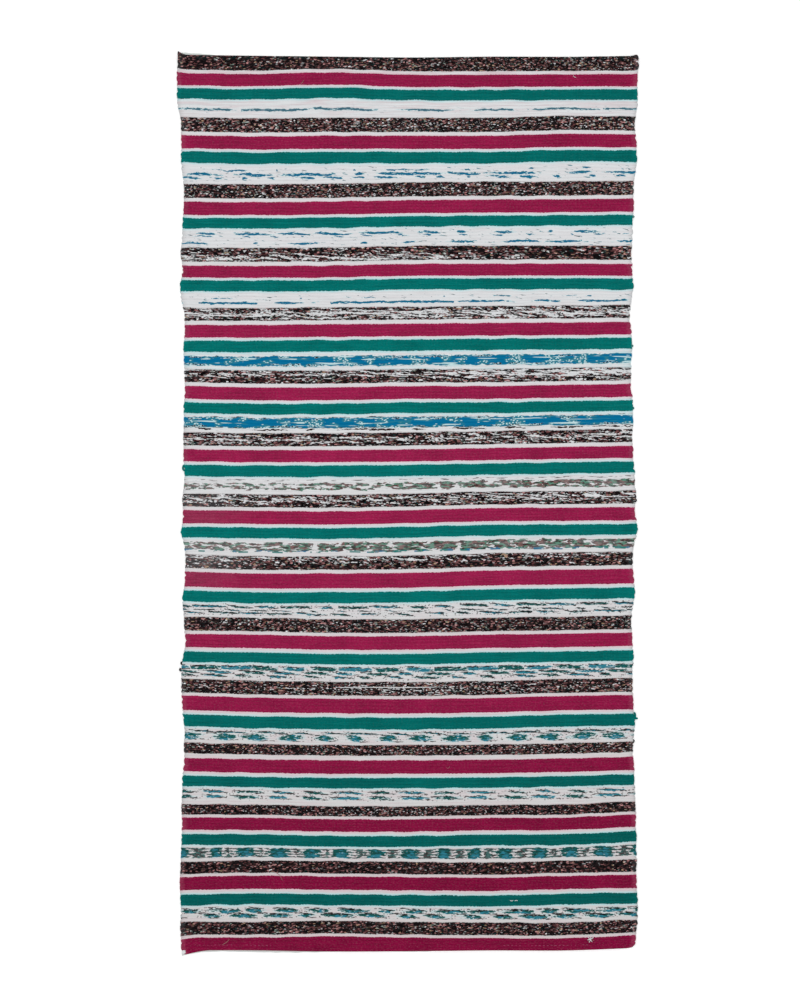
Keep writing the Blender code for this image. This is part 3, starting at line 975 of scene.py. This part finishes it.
def dashes(f, seed, slack):
    """How far inside the ink a place is, which dash it belongs to, and its place along and across it.

    Along its row a place is u from the dash's middle and across it q from the row's middle, each 1 at
    the edge and both pushed about by noise, which makes the edge ragged. The ink is where
    1 - |u|^power - |q|^power is above 0. Scattered dashes wander along the row and differ in length.
    The layers of rag in a pick have slipped along it by up to half the slack, in millimetres.
    """
    fill, length, order = f.attribute("fill"), f.attribute("length"), f.attribute("order")
    power, centre = f.attribute("power"), f.attribute("centre")
    stray = (f.noise(f.x / 75, centre * 2.3, seed) - 0.5) * (1.5 - order)
    along = f.x / length + f.attribute("start") + stray
    number = along.floor()
    layer = {"Vector": f.point((f.attribute("turns") * 1.7).floor() + 0.5, number * 1.3 + 0.5)}
    slip = f.node("ShaderNodeTexWhiteNoise", {"noise_dimensions": "2D"}, layer, "Value") - 0.5
    chance = {"Vector": f.point(number * 1.37 + 0.5, centre * 2.71 + 0.5)}
    luck = f.node("ShaderNodeTexWhiteNoise", {"noise_dimensions": "2D"}, chance, "Value")
    place = (along.fraction() + slip * slack / length) * 2 - 1
    reach = fill * (1 + (luck - 0.5) * (1.5 - 1.2 * order))
    push = f.noise(f.x / 8, f.y / 2.4, seed + 9, detail=3.0, rough=0.62) - 0.5
    pull = f.noise(f.x / 6, f.y / 2.6, seed + 15) - 0.5
    bend = f.noise(f.x / 18, centre * 1.9, seed + 3) - 0.5
    u = place / reach.greater(0.02) + push * 1.6
    drop = place * f.attribute("lean") * 0.5
    q = (f.attribute("turns") - centre - drop + bend * 0.8 + pull) / f.attribute("half")
    ink = 1 - abs(u) ** power - abs(q) ** power
    inked_row = f.step(fill, 0.0, 0.05)
    return ink * inked_row - NO_INK * (1 - inked_row), number, u, q


def strokes(f, seed, reach, share, lean=0.0):
    """Thin strokes about reach long, level or leaning, over this share of the cloth, as 0 or 1."""
    low = 0.5 + (0.5 - share) * 0.34
    field = f.noise(f.x / reach, (f.y + f.x * lean) / 2.2, seed, detail=2.5, rough=0.6)
    return f.step(field, low - 0.012, low + 0.012)


def blue_print_finish(colours):
    """Blue dashes, and in two stripes a whole band of blue with slivers and dots left bare. Short dark
    lines follow the band's edges."""
    f = Finish("printed_weft_blue")
    ink, _, _, q = dashes(f, 20.0, 5.0)
    solid, outline = f.step(f.attribute("power"), 3.0, 3.5), f.attribute("outline")
    brown = f.attribute("mixed")
    first = f.until(f.attribute("repeat"), 0.2, 0.8)
    blue = f.mix(f.patches(f.x / 12, f.y / 3, 17.0, 0.50, 0.74), colours.dash_blue, colours.blue_grey)
    blue = f.mix(first * 0.85, blue, colours.blue_slate)
    blue = f.mix(solid, blue, colours.blue)
    blue = f.mix(f.until(ink, 0.05, 0.35), blue, colours.blue_edge)
    blue = f.mix(brown, blue, colours.umber)
    sliver = f.noise(f.x / 46, f.y / 3.4, 31.0, detail=1.2) + 0.05 * abs(q)
    crowd = f.noise(f.x / 26, f.y / 12, 37.0, detail=1.0) + 0.04 * abs(q)
    dotted = dots(f, 4.4, 3.0, 0.30, 0.0) * f.step(crowd, 0.60, 0.63)
    dotted = dotted.greater(dots(f, 13.0, 5.0, 0.13, 5.0) * f.step(crowd, 0.50, 0.54))
    rows = f.band(abs(q), 0.72, 0.10, 0.16)
    rows = rows * f.patches(f.x / 24, q * 2, 39.0, 0.57, 0.59, detail=1.0)
    sooty = dots(f, 3.4, 2.8, 0.42, 7.0) * rows
    cut = strokes(f, 49.0, 9.0, 0.16, 0.12) * (1 - solid)
    bare = f.step(sliver, 0.645, 0.66).greater(dotted).greater(rows * 0.8) * solid
    fringe = f.step(sliver, 0.58, 0.62).greater(f.step(crowd, 0.54, 0.60))
    fringe = fringe.greater(f.until(ink, 0.1, 0.7))
    blue = f.mix(fringe * solid * 0.8, blue, colours.blue_edge)
    inked = f.step(ink, 0.0, 0.12) * (1 - bare) * (1 - cut)
    colour = white_cloth(f, colours)
    tinted = (f.step(ink, -0.35, -0.02) * 0.5).greater(bare * 0.30) * (1 - brown)
    colour = f.mix(tinted, colour, colours.aqua_bleed)
    scrap = strokes(f, 53.0, 15.0, 0.075, 0.12) * f.until(f.attribute("fill"), 0.5, 1.0)
    scrap = scrap * f.step(f.attribute("fill"), 0.02, 0.05)
    sooted = f.mix(f.patches(f.x / 22, f.y / 4, 57.0, 0.47, 0.52) * 0.7, blue, colours.print_grey)
    colour = f.mix(scrap * (1 - solid), colour, sooted)
    colour = f.mix(inked, colour, blue)
    colour = f.mix(sooty * solid * f.step(ink, -0.1, 0.1), colour, colours.umber)
    trace = f.band(abs(q), 1.0, 0.07, 0.15) * strokes(f, 43.0, 16.0, outline)
    colour = f.mix(trace * solid * 0.85, colour, colours.umber)
    return f.finish(colour, pick_relief(f))


def leaf_print_finish(colours):
    """Sage and brown flecks, closer together towards the right, and a little teal at the lower edge."""
    f = Finish("printed_weft_leaf")
    lean = f.y + 0.015 * f.x + (f.noise(f.x / 17, f.y / 8, 2.0) - 0.5) * 3.4
    shape = f.noise(f.x / 17, lean / 5.2, 3.0, detail=3.5, rough=0.62)
    kind = f.noise(f.x / 14, lean / 4.4, 14.0, detail=2.5)
    dark = f.noise(f.x / 8, lean / 2.8, 22.0)
    depth = f.attribute("depth")
    teal_edge = f.attribute("teal_edge")
    inside = f.step(depth + 0.12 * teal_edge, 0.22, 0.42) * f.until(depth, 0.68, 0.86)
    rightwards = f.step(f.x, -330.0, 260.0 - 200 * teal_edge)
    dense = f.attribute("dense") + (0.068 - 0.033 * teal_edge) * rightwards
    ink = f.step(shape + dense - (1 - inside) * 0.30, 0.50, 0.53)
    tone = f.mix(f.step(kind, 0.485, 0.525), colours.sage, colours.brown)
    tone = f.mix(f.step(dark, 0.49, 0.53) * 0.85, tone, colours.umber)
    low = f.step(depth, 0.64, 0.70) * f.patches(f.x / 22, 1.0, 33.0, 0.46, 0.52)
    teal = f.mix(f.patches(f.x / 30, 5.0, 35.0, 0.50, 0.54), colours.teal, colours.dash_blue)
    tone = f.mix(low * teal_edge, tone, teal)
    sliver = f.band(depth, 0.765, 0.025, 0.055) * f.patches(f.x / 24, 2.0, 36.0, 0.52, 0.54)
    full = f.patches(f.x / 40, f.y / 9, 44.0, 0.35, 0.65) * f.step(f.x, -340.0, -120.0)
    tone = f.mix((1 - full) * 0.16, tone, colours.white_grey)
    early = f.band(depth, 0.20, 0.03, 0.06) * (1 - teal_edge) * strokes(f, 48.0, 17.0, 0.34)
    colour = f.mix(ink, white_cloth(f, colours), tone)
    colour = f.mix(sliver * teal_edge * 0.9, colour, teal)
    return f.finish(f.mix(early * 0.85, colour, colours.umber), pick_relief(f))


def block_print_finish(colours):
    """Shapes of green and blue ink with a dark line along the top of each. A line runs in from the left
    over a shape and another runs out to the right under it, and dark specks lie between the shapes. In
    one repeat, dark lines and a darker block fill the white between the shapes."""
    f = Finish("printed_weft_block")
    mixed, grid = f.attribute("mixed"), f.attribute("grid")
    ink, number, u, q = dashes(f, 40.0, 4.0 + 5.0 * mixed * (1 - 0.5 * grid))
    outline, half = f.attribute("outline"), f.attribute("half")
    turn = ((number + f.attribute("repeat_turn")) / 2).fraction()
    blend = f.noise(f.x / 8, f.y / 2.8, 51.0) - 0.5
    apart = f.step(turn + blend * 1.8, 0.20, 0.34)
    inner = f.step(0.18 + 0.16 * grid - abs(u - 0.1) + 0.40 * q + blend * 3.2, -0.08, 0.08)
    which = apart + (inner - apart) * mixed
    body = f.mix(which, colours.print_green, colours.print_blue)
    broken = f.noise(f.x / 7, f.y / 2.6, 55.0)
    dark = f.mix(f.step(broken, 0.46, 0.52), colours.print_grey, colours.black)
    from_top, to_bottom = (q + 1) * half, (1 - q) * half
    line = f.until(from_top / outline, 0.26, 0.40) * f.step(broken, 0.38, 0.43)
    over = f.band(from_top, 0.08, 0.13, 0.24) * f.step(u, -1.6, -1.3) * f.until(u, -0.4, 0.0)
    under = f.band(to_bottom, 0.08, 0.13, 0.24) * f.step(u, 0.1, 0.4) * f.until(u, 1.3, 1.6)
    lines = over.greater(under) * f.step(broken, 0.40, 0.45) * (1 - grid)
    specks = dots(f, 4.4, 3.2, 0.26, 3.0) * f.patches(f.x / 13, f.y / 6, 61.0, 0.50, 0.56)
    specks = specks * f.until(abs(q) * half, 0.8, 1.2)
    level = (f.attribute("turns") - f.attribute("centre")).fraction()
    cut = strokes(f, 63.0, 8.0, 0.20 - 0.14 * grid)
    inked = f.step(ink, 0.0, 0.12) * (1 - cut)
    bars = f.band(level + blend * 1.1, 0.5, 0.19, 0.30) * f.step(broken, 0.38, 0.43)
    bars = bars * f.until(abs(q), 0.88, 1.0) * (1 - 0.45 * inked)
    block = f.step(abs(u) * f.attribute("fill") + (broken - 0.5) * 0.6, 0.80, 0.85)
    block = block * f.until(abs(q), 0.84, 1.0) * (1 - strokes(f, 67.0, 6.0, 0.12))
    between = bars.greater(block) * grid
    colour = white_cloth(f, colours)
    colour = f.mix(f.step(ink, -0.6, -0.05) * 0.36, colour, colours.aqua_bleed)
    colour = f.mix(specks * 0.8, colour, dark)
    colour = f.mix(inked, colour, f.mix((line * outline).lesser(1.0), body, dark))
    teal_bars = f.mix(f.step(blend, -0.01, 0.03), colours.black, colours.print_green)
    colour = f.mix(between * 0.92, colour, teal_bars)
    return f.finish(f.mix(lines * 0.92, colour, dark), pick_relief(f))


def plain_yarn(name, rgb):
    """A twisted cotton yarn of one colour with a fine, uneven tone."""
    f = Finish(name, roughness=0.85)
    tone = 1 + 0.35 * (f.noise(f.x / 1.1, f.y / 1.1, f.z / 1.1) - 0.5)
    twist = ((f.x + f.y) * 4.0).sine()
    return f.finish(f.scale(tuple(rgb), tone), 0.05 * twist)


def heading_finish(colours):
    """The pale heading: a finer, plain weave that shows only past the folds."""
    f = Finish("heading_cloth", roughness=0.9)
    tone = 1 + 0.10 * (f.noise(f.x / 6, f.y / 2, 2.0) - 0.5)
    grid = (f.x * 2.1).sine() * (f.y * 2.6 + f.z * 2.6).sine()
    return f.finish(f.scale(tuple(colours.heading), tone), 0.06 * grid)


# ---------------------------------------------------------------- hems and threads


STRAND_TAPER = 3.0  # over how many rings a strand is drawn in at either end
STRAND_TIP = 0.15  # how thick its last ring is, as a share


def tube_faces(columns, ring):
    """Quads between the rings of a tube, and one face to close either end."""
    i, j = np.meshgrid(np.arange(columns - 1), np.arange(ring), indexing="ij")
    here, after = i * ring + j, i * ring + (j + 1) % ring
    quads = np.stack([here, here + ring, after + ring, after], axis=-1).reshape(-1, 4).tolist()
    last = range((columns - 1) * ring, columns * ring)
    return quads + [list(range(ring)), list(last)[::-1]]


def strand(points, radius, around=6, samples=18):
    """A round strand along a smooth curve through points, a cubic between each two: rings square to
    the curve, drawn in at both ends as a half ellipse. Returns its vertices and its faces, which
    close the two ends."""
    points = np.asarray(points, float)
    knots = np.arange(len(points), dtype=float)
    slopes = np.gradient(points, axis=0)
    t = np.linspace(0, len(points) - 1, samples)
    span = np.clip(t.astype(int), 0, len(points) - 2)
    s = (t - knots[span])[:, None]
    a, b, da, db = points[span], points[span + 1], slopes[span], slopes[span + 1]
    path = (2 * s**3 - 3 * s**2 + 1) * a + (s**3 - 2 * s**2 + s) * da
    path = path + (3 * s**2 - 2 * s**3) * b + (s**3 - s**2) * db
    along = np.gradient(path, axis=0)
    along /= np.linalg.norm(along, axis=1)[:, None]
    side = np.cross(along, [0.0, 0.0, 1.0])
    side /= np.linalg.norm(side, axis=1)[:, None]
    up = np.cross(side, along)
    end = np.minimum(np.arange(samples), np.arange(samples)[::-1])
    end = np.clip(end / STRAND_TAPER, 0, 1)
    size = radius * np.maximum(np.sqrt(1 - (1 - end) ** 2), STRAND_TIP)
    turn = 2 * np.pi * np.arange(around) / around
    ring = side[:, None] * np.cos(turn)[None, :, None] + up[:, None] * np.sin(turn)[None, :, None]
    vertices = (path[:, None] + ring * size[:, None, None]).reshape(-1, 3)
    return vertices, tube_faces(samples, around)


def join_strands(name, strands):
    """One piece from several strands."""
    faces, count = [], 0
    for points, own in strands:
        faces += [[corner + count for corner in face] for face in own]
        count += len(points)
    return add_mesh(name, np.concatenate([points for points, _ in strands]), faces, sharp=False)


def line_at(x, line):
    """The height of a line of the cloth at one place across it."""
    return float(across(np.array([[x]]), line[None])[0, 0])


def surface_at(w, x, y):
    """The height of the cloth's ribs at one place, without the hem's stitches."""
    gap = max(min(line_at(x, TOP_END) - y, y - line_at(x, BOTTOM_END)), 0.0)
    return float(w.crest + hem_layer(w, gap) + waves(x, y))


# The turned-under layer of a hem. Its section starts with these distances from the fold and heights.
HEADING_FOLD = ((0.9, 0.05), (0.0, 0.7), (0.0, 2.1), (0.9, 3.3))
HEADING_PAST = (3.5, 1.0)  # how far it runs past the half width, at the left and at the right
HEADING_COLUMNS = 160
HEADING_TUCKED = -0.5  # how far it stands out of the fold where it doesn't show
HEADING_UNEVEN = 0.25  # how far its edge wanders
HEADING_BEND = 1.6  # how far from the fold its section is drawn out with its edge


def heading(w, name, end):
    """The turned-under layer of one hem: a closed section of distance from the fold and height, carried
    across the rug, with its outer edge moved out where the heading shows."""
    x = np.linspace(-w.half_width - HEADING_PAST[0], w.half_width + HEADING_PAST[1], HEADING_COLUMNS)
    out = np.full_like(x, HEADING_TUCKED)
    for rim in RIMS:
        if rim.end == end:
            out = np.maximum(out, rim.depth * (1 - ((x - rim.x) / rim.half_length) ** 2))
    out = out + HEADING_UNEVEN * wander(x, 0.0, 30 + end, 24.0, 1.0)
    layer, inner = w.hem_layer - 0.1, w.hem_depth - 0.4
    over = ((2.2, layer), (6.0, layer), (inner, layer))
    under = ((w.hem_depth, layer / 2), (inner, 0.05), (6.0, 0.02))
    shape = np.array((*HEADING_FOLD, *over, *under))
    moved = np.exp(-((shape[:, 0] / HEADING_BEND) ** 2))
    gap = shape[None, :, 0] - out[:, None] * moved
    fold = across(x[None, :], end_line(end)[None, :])[0]
    if end < 0:
        fold = fold + corner_lift(x - x[0], x[-1] - x, np.inf, 0.0)
    y = fold[:, None] - end * gap
    points = np.stack(np.broadcast_arrays(x[:, None], y, shape[:, 1]), axis=2)
    if end < 0:
        points = points[:, ::-1]
    return add_mesh(name, points.reshape(-1, 3), tube_faces(*points.shape[:2]))


SEAM_INSET = 6.0  # how far inside the half width a seam starts and stops
STITCH_STEP = 1.45  # from one stitch to the next, in stitch lengths
STITCH_RISE = {True: 0.25, False: -0.45}  # how high a stitch lies where the seam shows, and elsewhere
STITCH_ARCH = (-0.5, 0.15)  # the heights of a stitch's ends and of its middle, from there
STITCH_STRAY = 0.25  # how far the stitches stray from their line
STITCH_DEPTH = (-0.35, 0.1)  # how unevenly deep they lie
STITCH_SPAN = (0.85, 1.1)  # the shortest and the longest, as shares of a stitch's length
STITCH_TILT = 0.15  # how far they lean from their line, at either end


def stitch_row(w, name, end):
    """A line of running stitches along a hem, each a low arch that goes into the cloth at its ends."""
    line = end_line(end)
    rng = np.random.default_rng(60 + end)
    strands = []
    reach = w.half_width - SEAM_INSET
    for x in np.arange(-reach, reach, w.stitch_length * STITCH_STEP):
        y = line_at(x, line) - end * (w.stitch_inset + rng.normal(0, STITCH_STRAY))
        shows = end > 0 or any(first < x < last for first, last in SEAM_SHOWS)
        z = surface_at(w, x, y) - w.stitch_trough + rng.uniform(*STITCH_DEPTH) + STITCH_RISE[shows]
        half = w.stitch_length / 2 * rng.uniform(*STITCH_SPAN)
        tilt = rng.normal(0, STITCH_TILT)
        low, high = (z + height for height in STITCH_ARCH)
        points = ((x - half, y - tilt, low), (x, y, high), (x + half, y + tilt, low))
        strands.append(strand(points, w.stitch_thickness / 2, around=5, samples=7))
    return join_strands(name, strands)


def laid_thread(w, thread):
    """A loose thread that follows the cloth through its points."""
    rise = thread.thickness * thread.stand
    points = [(x, y, surface_at(w, x, y) + rise) for x, y in thread.points]
    return strand(points, thread.thickness / 2, around=6 + 2 * int(thread.thickness))


LOOP_RUN_ON = 0.6  # how far past half a turn each end of a loop runs on into the cloth, in radians
LOOP_SEAT = 0.8  # how far inside the selvage a loop starts
LOOP_RISE = 0.2  # how far over the middle of the cloth's thickness it lies


def selvage_loop(w, stripes, loop):
    """A loop or knot that stands out of a selvage: half an ellipse that runs on into the cloth."""
    height = np.full((1, len(STATIONS)), float(loop.y))
    out = float(selvage_line(stripes, loop.side, height)[0])
    base = loop.side * (w.half_width - w.scallop_seat / 2 + out)
    turn = np.linspace(-LOOP_RUN_ON, np.pi + LOOP_RUN_ON, 9)
    x = base + loop.side * (np.sin(turn) * loop.reach - LOOP_SEAT)
    y = loop.y + loop.spread * np.cos(turn)
    z = np.full_like(turn, w.crest / 2 + LOOP_RISE)
    return strand(np.stack([x, y, z], axis=1), loop.thickness / 2, around=8, samples=22)


# ---------------------------------------------------------------- the add-on


def length(name, description, default):
    """A size that a user may change, in metres."""
    return bpy.props.FloatProperty(
        name=name, description=description, default=default, min=0.0, precision=5, unit="LENGTH"
    )


def tint(name, description, default):
    """A colour that a user may change."""
    return bpy.props.FloatVectorProperty(
        name=name, description=description, default=default, size=3, min=0.0, max=1.0, subtype="COLOR"
    )


class RugSizes(bpy.types.PropertyGroup):
    """Sizes of the cloth"""

    half_width: length("Half width", "The rug's middle to a selvage", 0.345)
    crest: length("Rib crest", "The floor to the top of a rib", 0.0043)
    groove: length("Rib groove", "The floor to the groove between two ribs", 0.0036)
    under_rib: length("Underside rib", "The floor to the grooves of the underside", 0.0009)
    full_pick: length("Full pick", "Depth of a pick whose rib has its full height", 0.005)
    scallop: length("Scallop", "How far a turn of the weft stands out at a selvage", 0.0019)
    scallop_seat: length("Scallop seat", "How far inside the stated selvage its turns start", 0.0021)
    jag: length("Jag", "How unevenly the turns of the weft stand out", 0.0004)
    edge_round: length("Edge round", "Radius of the rounded edge of the cloth", 0.0020)
    wobble: length("Wobble", "How far the picks wander from an even line", 0.00022)
    bleed: length("Bleed", "How far a stripe's edge shows its neighbour's colour", 0.0035)
    hem_depth: length("Hem depth", "The fold of the hem to its inner edge", 0.013)
    hem_layer: length("Hem layer", "Thickness of the turned-under layer", 0.0022)
    hem_ease: length("Hem ease", "Half the length over which the hem falls to the cloth", 0.004)
    stitch_inset: length("Stitch inset", "The fold of the hem to the stitches", 0.008)
    stitch_trough: length("Stitch trough", "How far the stitches sink the cloth", 0.0008)
    stitch_spread: length("Stitch spread", "How far from the stitches the cloth is sunk", 0.0018)
    stitch_length: length("Stitch length", "Length of one stitch", 0.0042)
    stitch_thickness: length("Stitch thickness", "Thickness of the sewing thread", 0.0007)


class RugColours(bpy.types.PropertyGroup):
    """Colours of the yarns and prints"""

    crimson: tint("Crimson", "The crimson rag", (0.298, 0.0108, 0.0655))
    # the deep crimson, green and white are the colours where the cloth is darker, most towards the
    # bottom hem
    crimson_deep: tint("Deep crimson", "The crimson rag at its deepest", (0.200, 0.0030, 0.0380))
    # the paler crimson of wear at the selvages, also used for the painted glare near the left selvage
    crimson_faded: tint("Faded crimson", "The crimson rag where it is faded", (0.285, 0.032, 0.082))
    green: tint("Green", "The green rag", (0.0006, 0.152, 0.139))
    green_deep: tint("Deep green", "The green rag at its deepest", (0.0012, 0.101, 0.093))
    white: tint("White", "The white rag", (0.714, 0.731, 0.745))
    white_deep: tint("Deep white", "The white rag near the lower hem", (0.606, 0.600, 0.596))
    white_grey: tint("Greyed white", "Greyed streaks and flecks", (0.53, 0.53, 0.545))
    white_rose: tint("Rosy white", "Streaks with a little crimson dye", (0.640, 0.525, 0.550))
    heading: tint("Heading", "The turned-under heading", (0.66, 0.69, 0.67))
    rose_bleed: tint("Rose bleed", "Crimson dye run into the white", (0.74, 0.39, 0.50))
    aqua_bleed: tint("Aqua bleed", "Green dye run into the white", (0.36, 0.70, 0.74))
    black: tint("Black", "The black of the speckled rag", (0.0102, 0.0074, 0.0082))
    umber: tint("Umber", "Dark brown flecks and printed edges", (0.032, 0.020, 0.020))
    dark_teal: tint("Dark teal", "Teal flecks and the top hem's sheared edge", (0.004, 0.021, 0.022))
    brick: tint("Brick", "Dark red flecks", (0.090, 0.032, 0.033))
    mauve: tint("Mauve", "Mauve flecks", (0.148, 0.066, 0.067))
    rose: tint("Rose", "Rose flecks and threads", (0.345, 0.170, 0.168))
    tan: tint("Tan", "Tan flecks", (0.27, 0.18, 0.115))
    sage_grey: tint("Grey green", "Grey-green flecks", (0.17, 0.21, 0.185))
    blue: tint("Blue", "The blue print", (0.0025, 0.155, 0.315))
    blue_edge: tint("Blue edge", "The edges of blue ink", (0.030, 0.205, 0.265))
    dash_blue: tint("Dash blue", "The blue of the printed dashes", (0.010, 0.140, 0.262))
    blue_grey: tint("Grey blue", "Worn blue print", (0.022, 0.160, 0.215))
    blue_slate: tint("Slate blue", "The topmost printed dashes", (0.066, 0.150, 0.188))
    teal: tint("Teal", "The teal of the leaf print", (0.0070, 0.165, 0.150))
    print_green: tint("Print green", "The green of the block print", (0.0110, 0.093, 0.086))
    print_blue: tint("Print blue", "The blue of the block print", (0.030, 0.198, 0.268))
    print_grey: tint("Print grey", "The grey of the block print's lines", (0.050, 0.041, 0.042))
    sage: tint("Sage", "The sage print", (0.105, 0.245, 0.180))
    brown: tint("Brown", "The brown print", (0.200, 0.112, 0.106))
    sewing_rose: tint("Sewing thread", "The thread of the lower hem", (0.42, 0.10, 0.19))


class RugOperator:
    """What the rug's operators share."""

    bl_options = {"REGISTER", "UNDO"}

    def settings(self, context):
        """The sizes in millimetres, and the colours."""
        return in_mm(context.scene.rug_sizes), context.scene.rug_colours

    def paint(self, piece, material, slot=None):
        """Gives a piece its material. The slot argument is not used."""
        piece.data.materials.append(material)


class RUG_OT_plain_stripes(RugOperator, bpy.types.Operator):
    """Weave the crimson, green and white stripes"""

    bl_idname = "rug.plain_stripes"
    bl_label = "Plain stripes"

    def execute(self, context):
        w, colours = self.settings(context)
        finishes = {"crimson": crimson_finish, "green": green_finish, "white": white_finish}
        for yarn, finish in finishes.items():
            piece = weave(w, f"weft_{yarn}", yarn, ALL_REPEATS)
            self.paint(piece, finish(colours), f"{yarn}_weft")
        return {"FINISHED"}


class RUG_OT_speckled_stripes(RugOperator, bpy.types.Operator):
    """Weave the speckled stripes"""

    bl_idname = "rug.speckled_stripes"
    bl_label = "Speckled stripes"

    def execute(self, context):
        w, colours = self.settings(context)
        piece = weave(w, "weft_speckled", "speckled", ALL_REPEATS, speckle_table())
        add_values(piece.data, "POINT", {"pale": paleness()})
        self.paint(piece, speckled_finish(colours), "speckled_weft")
        return {"FINISHED"}


class RUG_OT_printed_stripes(RugOperator, bpy.types.Operator):
    """Weave the printed stripes, from three lengths of printed rag"""

    bl_idname = "rug.printed_stripes"
    bl_label = "Printed stripes"

    def execute(self, context):
        w, colours = self.settings(context)
        inks = dash_table()
        prints = {
            "blue_print": (inks, blue_print_finish),
            "leaf_print": (leaf_table(), leaf_print_finish),
            "block_print": (block_table(inks), block_print_finish),
        }
        for name, (table, finish) in prints.items():
            piece = weave(w, f"weft_{name}", "printed", PRINTS[name], table)
            self.paint(piece, finish(colours), "printed_weft")
        return {"FINISHED"}


class RUG_OT_hems(RugOperator, bpy.types.Operator):
    """Turn under and stitch the two hems"""

    bl_idname = "rug.hems"
    bl_label = "Hems"

    def execute(self, context):
        w, colours = self.settings(context)
        pale = heading_finish(colours)
        threads = {
            1: plain_yarn("dark_sewing_thread", colours.black),
            -1: plain_yarn("rose_sewing_thread", colours.sewing_rose),
        }
        for name, end in (("top", 1), ("bottom", -1)):
            piece = heading(w, f"heading_{name}", end)
            self.paint(piece, pale, "white_weft")
            self.paint(stitch_row(w, f"stitches_{name}", end), threads[end])
        return {"FINISHED"}


class RUG_OT_threads(RugOperator, bpy.types.Operator):
    """Add the loose threads on the cloth and the loops at the selvages"""

    bl_idname = "rug.threads"
    bl_label = "Loose threads"

    def execute(self, context):
        w, colours = self.settings(context)
        yarns = {
            "rose": colours.rose,
            "white": colours.white,
            "green": colours.green,
            "dark": colours.black,
        }
        strands = {}
        for thread in THREADS:
            strands.setdefault(("thread", thread.yarn), []).append(laid_thread(w, thread))
        stripes = stripe_list()
        for loop in LOOPS:
            strands.setdefault(("loop", loop.yarn), []).append(selvage_loop(w, stripes, loop))
        for (kind, yarn), parts in strands.items():
            piece = join_strands(f"{kind}_{yarn}", parts)
            self.paint(piece, plain_yarn(f"{kind}_yarn_{yarn}", yarns[yarn]))
        return {"FINISHED"}


# The stage: the camera looks straight down at the point of the floor that is the middle of the view.
VIEW_MIDDLE = (-12.3 * MM, 5.4 * MM)
VIEW_LENGTH = 1.5415  # metres of floor along the long side of the view
LENS = 100.0
SENSOR = 36.0
FLOOR_REACH = 9.0
FLOOR_DROP = 0.0003  # keeps the floor clear of the rug's underside
FLOOR_TONE = (0.94, 0.94, 0.94, 1.0)
WHITE = (1.0, 1.0, 1.0, 1.0)
FLOOR_GLOW = 0.2  # keeps the floor white in the rug's own soft shadow
SKY = 0.82  # the even light from all round
KEY = 0.62  # the key light, in watts per square metre
KEY_SPREAD = 60.0  # degrees of sky that the key light fills
KEY_TILT = (-22.0, -10.0, 0.0)


class RUG_OT_stage(RugOperator, bpy.types.Operator):
    """Set up the pale floor, the soft light and the camera"""

    bl_idname = "rug.stage"
    bl_label = "Stage"

    def execute(self, context):
        scene = context.scene
        corner = np.array([(-1, -1, 0), (1, -1, 0), (1, 1, 0), (-1, 1, 0)], float) * FLOOR_REACH
        mesh = bpy.data.meshes.new("floor")
        mesh.from_pydata(corner - np.array([0, 0, FLOOR_DROP]), [], [(0, 1, 2, 3)])
        floor = bpy.data.objects.new("floor", mesh)
        scene.collection.objects.link(floor)
        material = bpy.data.materials.new("pale_floor")
        material.use_nodes = True
        shader = material.node_tree.nodes["Principled BSDF"]
        shader.inputs["Base Color"].default_value = FLOOR_TONE
        shader.inputs["Roughness"].default_value = 0.9
        shader.inputs["Specular IOR Level"].default_value = 0.0
        shader.inputs["Emission Color"].default_value = WHITE
        shader.inputs["Emission Strength"].default_value = FLOOR_GLOW
        mesh.materials.append(material)

        world = bpy.data.worlds.new("soft_white")
        world.use_nodes = True
        background = world.node_tree.nodes["Background"]
        background.inputs["Color"].default_value = WHITE
        background.inputs["Strength"].default_value = SKY
        scene.world = world

        light = bpy.data.lights.new("soft_key", "SUN")
        light.energy = KEY
        light.angle = np.radians(KEY_SPREAD)
        key = bpy.data.objects.new("soft_key", light)
        key.rotation_euler = np.radians(KEY_TILT)
        scene.collection.objects.link(key)

        camera = bpy.data.cameras.new("view_from_above")
        camera.lens = LENS
        camera.sensor_width = SENSOR
        view = bpy.data.objects.new("view_from_above", camera)
        view.location = (*VIEW_MIDDLE, VIEW_LENGTH * LENS / SENSOR)
        scene.collection.objects.link(view)
        scene.camera = view
        scene.view_settings.view_transform = "Standard"
        return {"FINISHED"}


class RUG_PT_panel(bpy.types.Panel):
    """The rug's pieces, sizes and colours"""

    bl_idname = "RUG_PT_panel"
    bl_label = "Rag rug"
    bl_space_type = "VIEW_3D"
    bl_region_type = "UI"
    bl_category = "Rag rug"

    def draw(self, context):
        for operator in OPERATORS:
            self.layout.operator(operator.bl_idname)
        for group in (context.scene.rug_sizes, context.scene.rug_colours):
            column = self.layout.column()
            for name in type(group).__annotations__:
                column.prop(group, name)


OPERATORS = (
    RUG_OT_plain_stripes,
    RUG_OT_speckled_stripes,
    RUG_OT_printed_stripes,
    RUG_OT_hems,
    RUG_OT_threads,
    RUG_OT_stage,
)
CLASSES = (RugSizes, RugColours, *OPERATORS, RUG_PT_panel)


def register():
    for cls in CLASSES:
        bpy.utils.register_class(cls)
    bpy.types.Scene.rug_sizes = bpy.props.PointerProperty(type=RugSizes)
    bpy.types.Scene.rug_colours = bpy.props.PointerProperty(type=RugColours)


def unregister():
    del bpy.types.Scene.rug_colours
    del bpy.types.Scene.rug_sizes
    for cls in reversed(CLASSES):
        bpy.utils.unregister_class(cls)


def main():
    register()
    for operator in OPERATORS:
        group, name = operator.bl_idname.split(".")
        getattr(getattr(bpy.ops, group), name)()


if __name__ == "__main__":
    main()
